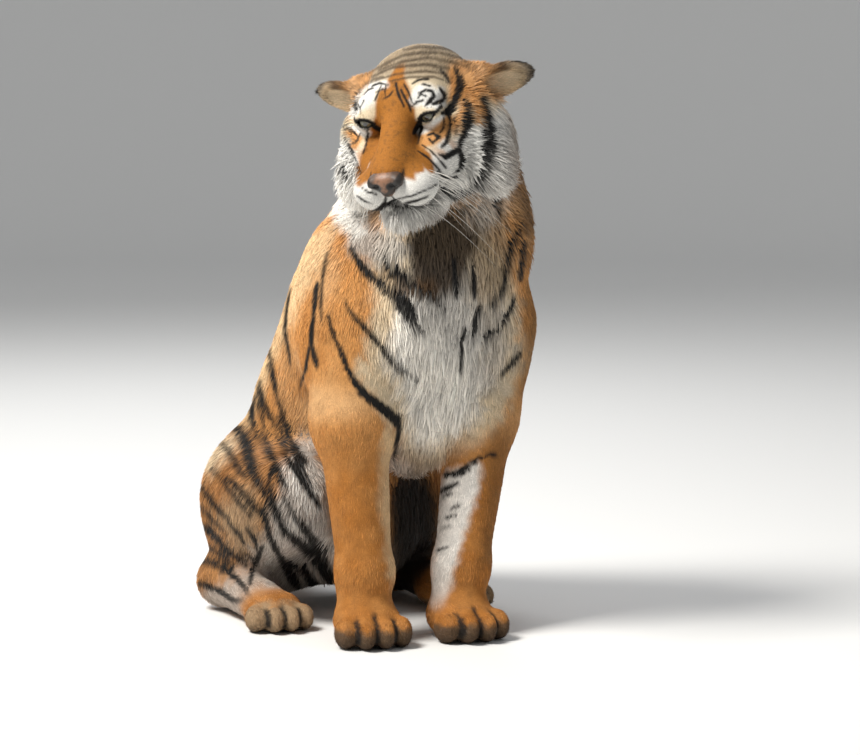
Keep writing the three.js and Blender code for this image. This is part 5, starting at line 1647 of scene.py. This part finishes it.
def skin_material():
    """The undercoat between the tufts: the same markings, finely ruffled."""
    down = Finish("undercoat")
    fine = down.grain("ShaderNodeTexNoise", Scale=420, Detail=3)
    # Painted shade in the gaps between the tufts: the markings darkened to 0.4 to 0.95 by the fine noise.
    colour = down.scaled(down.markings(), down.ranged(fine, 0.4, 0.95))
    ruffle = down.bump(fine, 0.6, 0.0015)
    return down.shade(Base_Color=colour, Normal=ruffle, Roughness=0.8, Specular_IOR_Level=0.2)


def unwrap(skin):
    """An unwrap of the skin's own shape, which also gives each tuft its place."""
    bpy.ops.object.select_all(action="DESELECT")
    skin.select_set(True)
    bpy.context.view_layer.objects.active = skin
    bpy.ops.object.mode_set(mode="EDIT")
    bpy.ops.mesh.select_all(action="SELECT")
    bpy.ops.uv.smart_project(angle_limit=math.radians(70), island_margin=0.004)
    bpy.ops.object.mode_set(mode="OBJECT")
    layer = skin.data.uv_layers[0]
    layer.name = "OFBake"
    values = np.empty(len(skin.data.loops) * 2, np.float32)
    layer.data.foreach_get("uv", values)
    copy = skin.data.attributes.new("root_uv", "FLOAT2", "CORNER")
    copy.data.foreach_set("vector", values)


# ---------------- eyes, nose and whiskers
GAZE_OUT = -0.05  # where the eyes look, in the head's frame, as shares of straight ahead
GAZE_UP = -0.10
CORNEA_BULGE = 0.5  # millimetres
CORNEA_EDGE = 0.62  # angle from the middle of the eye to the edge of the cornea, radians
IRIS = 0.60  # and to the edge of the iris
EYE_RINGS = 56
EYE_TURNS = 72


def make_eye(name, sign, material):
    """Eyeball with a clear coat. Each vertex knows how far it is from the middle of the pupil."""
    centre = HEAD.out(on_side(EYE_AT, sign))
    gaze = unit(HEAD.turn_out((sign * GAZE_OUT, -1, GAZE_UP)))
    side = unit(np.cross(gaze, (0, 0, 1)))
    top = np.cross(side, gaze)
    points, angles = [centre + gaze * (EYE_RADIUS + CORNEA_BULGE)], [0.0]
    for ring in range(1, EYE_RINGS):
        polar = math.pi * (ring / EYE_RINGS) ** 1.25
        bulge = CORNEA_BULGE * max(0.0, 1 - (polar / CORNEA_EDGE) ** 2) ** 2
        for step in range(EYE_TURNS):
            round_it = 2 * math.pi * step / EYE_TURNS
            away = side * math.cos(round_it) + top * math.sin(round_it)
            way = gaze * math.cos(polar) + away * math.sin(polar)
            points.append(centre + way * (EYE_RADIUS + bulge))
            angles.append(polar)
    points.append(centre - gaze * EYE_RADIUS)
    angles.append(math.pi)
    back = len(points) - 1
    faces = [(tip, b, a) for tip, a, b in fan(0, 1, EYE_TURNS)] + fan(back, back - EYE_TURNS, EYE_TURNS)
    for a, c, d, b in band(1, EYE_RINGS - 1, EYE_TURNS):
        faces += [(a, b, d), (a, d, c)]
    eye = mesh_object(f"eyeball_{name}", np.array(points), np.array(faces))
    put_attribute(eye.data, "from_pupil", angles)
    fibres = (np.array(points) - centre) @ np.stack([side, top], 1)
    put_attribute(eye.data, "fibre", np.degrees(np.arctan2(fibres[:, 1], fibres[:, 0])))
    eye.data.materials.append(material)
    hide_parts(f"eye_{name}")
    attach(eye, "root")


def eye_material(settings):
    """Pupil, streaked iris with a dark rim, and the dull white round it, under a clear coat."""
    eye = Finish("iris and pupil")
    away = eye.value("from_pupil")
    ramp = eye.add("ShaderNodeValToRGB", {0: away})
    black, pupil = (0.003, 0.003, 0.003), settings.pupil
    iris = np.array(settings.iris)
    stops = (
        (0.0, black), (pupil - 0.012, black), (pupil + 0.012, iris * 0.6), ((pupil + IRIS) / 2, iris),
        (IRIS - 0.07, iris * 0.75), (IRIS, (0.01, 0.009, 0.008)), (IRIS + 0.16, (0.03, 0.022, 0.018)),
        (1.0, (0.25, 0.2, 0.17)),
    )
    for number, (at, colour) in enumerate(stops):
        stop = ramp.color_ramp.elements[number] if number < 2 else ramp.color_ramp.elements.new(at)
        stop.position = at
        stop.color = (*colour, 1)
    streaks = eye.out("ShaderNodeCombineXYZ", {"X": eye.times(eye.value("fibre"), 0.35), "Y": away})
    feeds = {"Scale": 1, "Detail": 4, "Vector": streaks}
    shade = eye.ranged(eye.out("ShaderNodeTexNoise", feeds, noise_dimensions="2D"), 0.55, 1.3)
    colour = eye.scaled(ramp.outputs[0], shade)
    return eye.shade(Base_Color=colour, Roughness=0.25, Coat_Weight=1, Coat_Roughness=0.03)


def nose_field(points):
    """Leather of the nose: a broad pad with two comma-shaped nostrils and a groove down the middle."""
    local = HEAD.into(points)

    def egg(at, radii, turn=(0, 0, 0)):
        return egg_distance((local - at) @ turned(turn) / radii, radii)

    d = joined(egg((0, -217, -37), (32, 22, 16)), egg((0, -219, -52), (14, 18, 17)), 12)
    for _, s in SIDES:
        d = joined(d, egg((s * 23, -226, -41), (10, 11, 11)), 6)
        d = carve(d, egg((s * 13.5, -241, -46), (6.5, 12, 5), (0, s * 35, s * -20)), 3)
        d = carve(d, egg((s * 22, -236, -50), (7, 12, 2.4), (0, s * -25, s * -35)), 2.5)
    groove = np.array([(0, -243, -40), (0, -242, -56), (0, -240, -70)], float)
    return carve(d, tube_distance(local, groove, 0.9), 3)


NOSE_MIDDLE = (0, -218, -44)
NOSE_REACH = 48  # half the size of the box that the leather is looked for in
NOSE_STEP = 1.25
NOSE_RIM = ((32, -25, 5), (29, -37, 13), (20, -48, 15), (7, -59, 9))


def make_nose(settings):
    """The nose leather, dark round its edge and in the nostrils."""
    middle = HEAD.out(NOSE_MIDDLE)
    low, high = middle - NOSE_REACH, middle + NOSE_REACH
    points, quads = surface_net(nose_field, low, high, NOSE_STEP, settle=2)
    nose = mesh_object("nose_leather", points, quads)
    local = HEAD.into(points)
    x, z = np.abs(local[:, 0]), local[:, 2]
    c = np.tile(settings.colour, (len(points), 1)).astype(float)
    c = mix(c, "rim", soft(x + 0.3 * (z + 45), 13, 25) * 0.9)
    c = mix(c, "rim", 0.5 * soft(noise(points, 5, 31) + noise(points, 2.5, 32), 0.1, 0.9))
    nostril = np.full(len(points), FAR)
    for _, s in SIDES:
        away = np.linalg.norm((local - (s * 15.5, -238, -46.5)) / (1, 1.6, 0.75), axis=1)
        nostril = np.minimum(nostril, away)
        wing = np.array(NOSE_RIM, float) * (s, 1, 1)
        c = mix(c, "black", brush(local[:, (0, 2)], wing, 1.5) * 0.9)
    # Painted shade: black over the hollows of the nostrils.
    c = mix(c, "black", 1 - soft(nostril, 9, 14))
    c = mix(c, "black", soft(-z, 52, 60) * (1 - soft(x, 2, 7)))
    put_markings(nose.data, c)
    nose.data.materials.append(nose_material())
    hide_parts("nose")
    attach(nose, "root")


def nose_material():
    """Fine pebbled leather, a little moist."""
    leather = Finish("nose leather")
    pebbles = leather.bump(leather.grain("ShaderNodeTexVoronoi", Scale=750), 0.35, 0.0006)
    return leather.shade(
        Base_Color=leather.markings(), Normal=pebbles, Roughness=0.5, Coat_Weight=0.08, Coat_Roughness=0.35
    )


def to_skin(local):
    """The nearest place on the skin to a point in the head's frame."""
    p = HEAD.out(np.array([local], float))
    for _ in range(6):
        p = towards_zero(skin_field, p)
    return HEAD.into(p)[0]


def tapered_tube(path, radii, sides=6):
    """Points and faces of a closed tube that ends in a point."""
    points = []
    way = unit(np.gradient(path, axis=0))
    side = unit(np.cross(way, (0.3, 0.2, 1.0)))
    top = np.cross(side, way)
    for at, r, a, b in zip(path[:-1], radii[:-1], side[:-1], top[:-1]):
        for step in range(sides):
            angle = 2 * math.pi * step / sides
            points.append(at + (a * math.cos(angle) + b * math.sin(angle)) * r)
    start = len(points)
    points += [path[0], path[-1]]
    faces = fan(start, 0, sides) + [(tip, b, a) for tip, a, b in fan(start + 1, start - sides, sides)]
    for a, c, d, b in band(0, len(path) - 1, sides):
        faces += [(a, c, d), (a, d, b)]
    return np.array(points), np.array(faces)


WHISKER_STEPS = 15
WHISKER_ROWS = (-48, -57, -66, -75)  # heights in the head's frame
BROW_WHISKERS = 2


def whisker_path(root, out, length, back, sag):
    """A whisker from just under the skin outwards, bent back and hanging at its end."""
    t = np.linspace(0, 1, WHISKER_STEPS)[:, None]
    return root - out * 3 + (out * t + np.array(back) * 0.8 * t ** 2 + np.array(sag) * t ** 2.4) * length


def make_whiskers(settings):
    """Long white whiskers in four rows on each side of the muzzle, and a few above the eyes."""
    random = np.random.default_rng(settings.seed)
    longest = settings.length / MM
    all_points, all_faces, count = [], [], 0
    for _, s in SIDES:
        hairs = []
        for row, height in enumerate(WHISKER_ROWS):
            for place in range(5 if row else 4):
                across = s * (52 + 5.5 * place - 2 * row)
                root = np.array((across, -196 + 15 * place, height - 2.5 * place))
                root = to_skin(root + random.normal(0, 1.5, 3))
                side = s * (0.85 + 0.12 * random.normal())
                back = 0.1 + 0.2 * random.random()
                out = unit((side, back, -0.45 - 0.12 * row + 0.08 * random.normal()))
                length = random.uniform(0.5, 1) * longest
                hairs.append((root, out, length, (0, 0.42, -0.22), (0, 0.05, -0.42), 1))
        for place in range(BROW_WHISKERS):
            root = to_skin((s * (46 + 10 * place), -96, 70 + 2 * place))
            length = random.uniform(0.2, 0.3) * longest
            hairs.append((root, unit((s * 0.5, -0.6, 0.6)), length, (0, 0.3, 0), (s * 0.2, 0.1, -0.1), 0.7))
        for root, out, length, back, sag, thick in hairs:
            path = whisker_path(root, out, length, back, sag)
            taper = 1 - np.linspace(0, 1, WHISKER_STEPS) ** 1.4 * 0.93
            points, faces = tapered_tube(HEAD.out(path), settings.thickness / MM / 2 * thick * taper)
            all_points.append(points)
            all_faces.append(faces + count)
            count += len(points)
    whiskers = mesh_object("whiskers", np.vstack(all_points), np.vstack(all_faces))
    whiskers.data.materials.append(whisker_material())
    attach(whiskers, "root")


def whisker_material():
    """Pale bristle, unevenly white."""
    bristle = Finish("whisker")
    ramp = bristle.add("ShaderNodeValToRGB", {0: bristle.grain("ShaderNodeTexNoise", Scale=90)})
    ramp.color_ramp.elements[0].color = (0.62, 0.58, 0.5, 1)
    ramp.color_ramp.elements[1].color = (0.9, 0.88, 0.84, 1)
    return bristle.shade(Base_Color=ramp.outputs[0], Roughness=0.35)


# ---------------- stage
VIEW_AZIMUTH = -30  # degrees round from straight ahead of the tiger
VIEW_HEIGHT = 6.5  # degrees above level
VIEW_DISTANCE = 7.0  # metres
VIEW_WIDTH = 1.575  # metres across at the tiger
VIEW_FOOT = (-0.0375, -0.36, 0)  # the point below the middle of the view, metres, tiger's frame
VIEW_RIGHT = 0.0198  # from there to the middle of the view
VIEW_UP = 0.481
SENSOR = 36
FLOOR_FLAT = 8  # radius of the level part of the floor, metres
FLOOR_BOW = 4  # how far its turned-up edge reaches beyond that
FLOOR_HIGH = 5
FLOOR_TURNS = 96
FLOOR_RISE = 16


# Each lamp: degrees round from straight ahead of the tiger, degrees above level, distance and size in
# metres, share of the main lamp's power, and colour
LAMPS = {
    "key": (-78, 50, 4.2, 1.4, 1, (1, 0.97, 0.92)),
    "fill": (30, 25, 5.0, 3.0, 0.05, (0.95, 0.97, 1)),
    "back": (165, 40, 4.5, 2.5, 0.3, (1, 1, 1)),
}
ROOM_COLOUR = (0.95, 0.97, 1, 1)


def view_from(a, e):
    """Right, up and back of a view from a radians round from straight ahead and e above level."""
    right = Vector((math.cos(a), math.sin(a), 0))
    back = Vector((math.sin(a) * math.cos(e), -math.cos(a) * math.cos(e), math.sin(e)))
    return right, back.cross(right), back


def set_camera(settings):
    """The camera, looking at the tiger from the height and direction in the settings."""
    right, up, back = view_from(settings.azimuth, settings.height)
    target = Vector(VIEW_FOOT) + Vector(SHIFT) + right * VIEW_RIGHT + up * VIEW_UP
    lens = bpy.data.cameras.new("camera")
    lens.sensor_width = SENSOR
    lens.lens = SENSOR * settings.distance / settings.width
    lens.clip_end = 60
    camera = new_object("camera", lens)
    axes = Matrix((right, up, back)).transposed().to_4x4()
    camera.matrix_world = Matrix.Translation(target + back * settings.distance) @ axes
    bpy.context.scene.camera = camera


def set_light(name, azimuth, height, distance, size, power, colour):
    """A soft square lamp that looks at the middle of the tiger."""
    away = view_from(math.radians(azimuth), math.radians(height))[2]
    lamp = bpy.data.lights.new(name, "AREA")
    lamp.size = size
    lamp.energy = power
    lamp.color = colour
    lamp_object = new_object(name, lamp)
    lamp_object.location = (CAD_BOX[0] + CAD_BOX[1]) / 2 + away * distance
    lamp_object.rotation_euler = away.to_track_quat("Z", "Y").to_euler()


def make_floor(colour):
    """A round floor whose edge turns up softly all the way round."""
    angles = np.linspace(0, math.pi / 2, FLOOR_RISE)
    radii = np.r_[FLOOR_FLAT / 2, FLOOR_FLAT + FLOOR_BOW * np.sin(angles)]
    heights = np.r_[0, FLOOR_HIGH * (1 - np.cos(angles))]
    turns = np.linspace(0, 2 * math.pi, FLOOR_TURNS, endpoint=False)
    points = [(0, 0, 0)]
    for radius, height in zip(radii, heights):
        points += [(radius * math.cos(t), radius * math.sin(t), height) for t in turns]
    mesh = bpy.data.meshes.new("floor")
    mesh.from_pydata(points, [], fan(0, 1, FLOOR_TURNS) + band(1, len(radii), FLOOR_TURNS))
    mesh.shade_smooth()
    mesh.materials.append(Finish("pale floor").shade(Base_Color=(*colour, 1), Roughness=0.7))
    floor = new_object("floor", mesh)


def make_stage(settings):
    """Camera, floor, room light and lamps."""
    set_camera(settings)
    make_floor(settings.floor)
    scene = bpy.context.scene
    scene.view_settings.view_transform = "Standard"
    world = bpy.data.worlds.new("studio")
    scene.world = world
    world.use_nodes = True
    wire = Wiring(world.node_tree)
    background = world.node_tree.nodes["Background"]
    wire.feed(background, {"Color": ROOM_COLOUR, "Strength": settings.world})
    for name, (azimuth, height, distance, size, share, colour) in LAMPS.items():
        set_light(name, azimuth, height, distance, size, settings.key * share, colour)


# ---------------- settings
class CoatSettings(bpy.types.PropertyGroup):
    """Size, fullness and colours of the coat."""

    length: FloatProperty(
        name="Length", description="Length of the hair, as a share of its usual length", default=1.0,
        min=0.3, max=1.5, subtype="FACTOR",
    )
    thickness: FloatProperty(
        name="Thickness", description="Width of a tuft, as a share of its usual width", default=1.0,
        min=0.5, max=2.0, subtype="FACTOR",
    )
    fullness: FloatProperty(
        name="Fullness", description="Number of tufts, as a share of the usual number", default=1.0,
        min=0.05, max=1.0, subtype="FACTOR",
    )
    seed: IntProperty(name="Seed", description="Changes where each tuft grows", default=0, min=0)
    orange: FloatVectorProperty(
        name="Ground", description="Main colour of the coat", default=COLOURS["orange"], subtype="COLOR",
        min=0, max=1,
    )
    white: FloatVectorProperty(
        name="White", description="Colour of the chest, the brows and the muzzle", default=COLOURS["white"],
        subtype="COLOR", min=0, max=1,
    )
    black: FloatVectorProperty(
        name="Stripes", description="Colour of the stripes", default=COLOURS["black"], subtype="COLOR",
        min=0, max=1,
    )


class EyeSettings(bpy.types.PropertyGroup):
    """Size of the pupils and colour of the irises."""

    pupil: FloatProperty(
        name="Pupil", description="From the middle of the eye to the edge of the pupil", default=0.19,
        min=0.05, max=0.45, subtype="ANGLE",
    )
    iris: FloatVectorProperty(
        name="Iris", description="Colour of the iris", default=(0.17, 0.16, 0.10), subtype="COLOR",
        min=0, max=1,
    )


class NoseSettings(bpy.types.PropertyGroup):
    """Colour of the nose."""

    colour: FloatVectorProperty(
        name="Leather", description="Colour of the nose leather", default=COLOURS["leather"],
        subtype="COLOR", min=0, max=1,
    )


class WhiskerSettings(bpy.types.PropertyGroup):
    """Sizes of the whiskers."""

    length: FloatProperty(
        name="Length", description="Length of the longest whiskers", default=0.13, min=0.02, max=0.3,
        unit="LENGTH",
    )
    thickness: FloatProperty(
        name="Thickness", description="Thickness of a whisker at its root", default=0.0009, min=0.0003,
        max=0.003, precision=4, unit="LENGTH",
    )
    seed: IntProperty(name="Seed", description="Changes how the whiskers spread", default=5, min=0)


class StageSettings(bpy.types.PropertyGroup):
    """Camera, lamps and floor."""

    azimuth: FloatProperty(
        name="Azimuth", description="How far round the tiger the camera stands",
        default=math.radians(VIEW_AZIMUTH), subtype="ANGLE",
    )
    height: FloatProperty(
        name="Elevation", description="How far above level the camera looks from",
        default=math.radians(VIEW_HEIGHT), subtype="ANGLE",
    )
    distance: FloatProperty(
        name="Distance", description="From the camera to the tiger", default=VIEW_DISTANCE, min=1, max=20,
        unit="LENGTH",
    )
    width: FloatProperty(
        name="Width", description="Width of the view at the tiger", default=VIEW_WIDTH, min=0.1, max=10,
        unit="LENGTH",
    )
    key: FloatProperty(
        name="Key lamp", description="Power of the main lamp", default=270.0, min=0, unit="POWER",
    )
    world: FloatProperty(
        name="Room light", description="Brightness of the light from all round", default=0.34, min=0,
    )
    floor: FloatVectorProperty(
        name="Floor", description="Colour of the floor", default=(0.8, 0.8, 0.79), subtype="COLOR",
        min=0, max=1,
    )


# ---------------- operators
class TIGER_OT_stage(bpy.types.Operator):
    """Set up the camera, the lamps and the floor"""

    bl_idname = "tiger.stage"
    bl_label = "Stage"

    def execute(self, context):
        make_stage(context.scene.tiger_stage)
        return {"FINISHED"}


class TIGER_OT_skin(bpy.types.Operator):
    """Make the skin with its markings"""

    bl_idname = "tiger.skin"
    bl_label = "Skin"

    def execute(self, context):
        settings = context.scene.tiger_coat
        for name in ("orange", "white", "black"):
            COLOURS[name] = tuple(getattr(settings, name))
        skin = make_skin()
        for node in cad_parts:
            if not node.startswith(("eye", "nose")):
                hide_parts(node)
        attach(skin, "root")
        return {"FINISHED"}


class TIGER_OT_coat(bpy.types.Operator):
    """Grow all pieces of the coat on the skin"""

    bl_idname = "tiger.coat"
    bl_label = "Coat"

    def execute(self, context):
        if "skin" not in bpy.data.objects:
            raise RuntimeError("the coat grows on the skin, which has to be made first")
        make_coat(bpy.data.objects["skin"], context.scene.tiger_coat)
        return {"FINISHED"}


class TIGER_OT_eyes(bpy.types.Operator):
    """Make both eyes"""

    bl_idname = "tiger.eyes"
    bl_label = "Eyes"

    def execute(self, context):
        material = eye_material(context.scene.tiger_eyes)
        for name, sign in SIDES:
            make_eye(name, sign, material)
        return {"FINISHED"}


class TIGER_OT_nose(bpy.types.Operator):
    """Make the nose leather"""

    bl_idname = "tiger.nose"
    bl_label = "Nose"

    def execute(self, context):
        make_nose(context.scene.tiger_nose)
        return {"FINISHED"}


class TIGER_OT_whiskers(bpy.types.Operator):
    """Make the whiskers"""

    bl_idname = "tiger.whiskers"
    bl_label = "Whiskers"

    def execute(self, context):
        make_whiskers(context.scene.tiger_whiskers)
        return {"FINISHED"}


# Each operator, and the settings shown above its button. The coat is grown with the skin's.
STEPS = (
    (TIGER_OT_stage, "tiger_stage", StageSettings),
    (TIGER_OT_skin, "tiger_coat", CoatSettings),
    (TIGER_OT_coat, None, None),
    (TIGER_OT_eyes, "tiger_eyes", EyeSettings),
    (TIGER_OT_nose, "tiger_nose", NoseSettings),
    (TIGER_OT_whiskers, "tiger_whiskers", WhiskerSettings),
)


class TIGER_PT_panel(bpy.types.Panel):
    """Settings and buttons for the tiger"""

    bl_idname = "TIGER_PT_panel"
    bl_label = "Tiger"
    bl_space_type = "VIEW_3D"
    bl_region_type = "UI"
    bl_category = "Tiger"

    def draw(self, context):
        for operator, holder, settings in STEPS:
            box = self.layout.box()
            if holder:
                group = getattr(context.scene, holder)
                for name in settings.__annotations__:
                    box.prop(group, name)
            box.operator(operator.bl_idname)


def register():
    for operator, holder, settings in STEPS:
        bpy.utils.register_class(operator)
        if holder:
            bpy.utils.register_class(settings)
            setattr(bpy.types.Scene, holder, PointerProperty(type=settings))
    bpy.utils.register_class(TIGER_PT_panel)


def unregister():
    bpy.utils.unregister_class(TIGER_PT_panel)
    for operator, holder, settings in reversed(STEPS):
        bpy.utils.unregister_class(operator)
        if holder:
            delattr(bpy.types.Scene, holder)
            bpy.utils.unregister_class(settings)


def main():
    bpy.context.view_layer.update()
    register()
    bpy.ops.tiger.stage()
    bpy.ops.tiger.skin()
    bpy.ops.tiger.coat()
    bpy.ops.tiger.eyes()
    bpy.ops.tiger.nose()
    bpy.ops.tiger.whiskers()


if __name__ == "__main__":
    main()
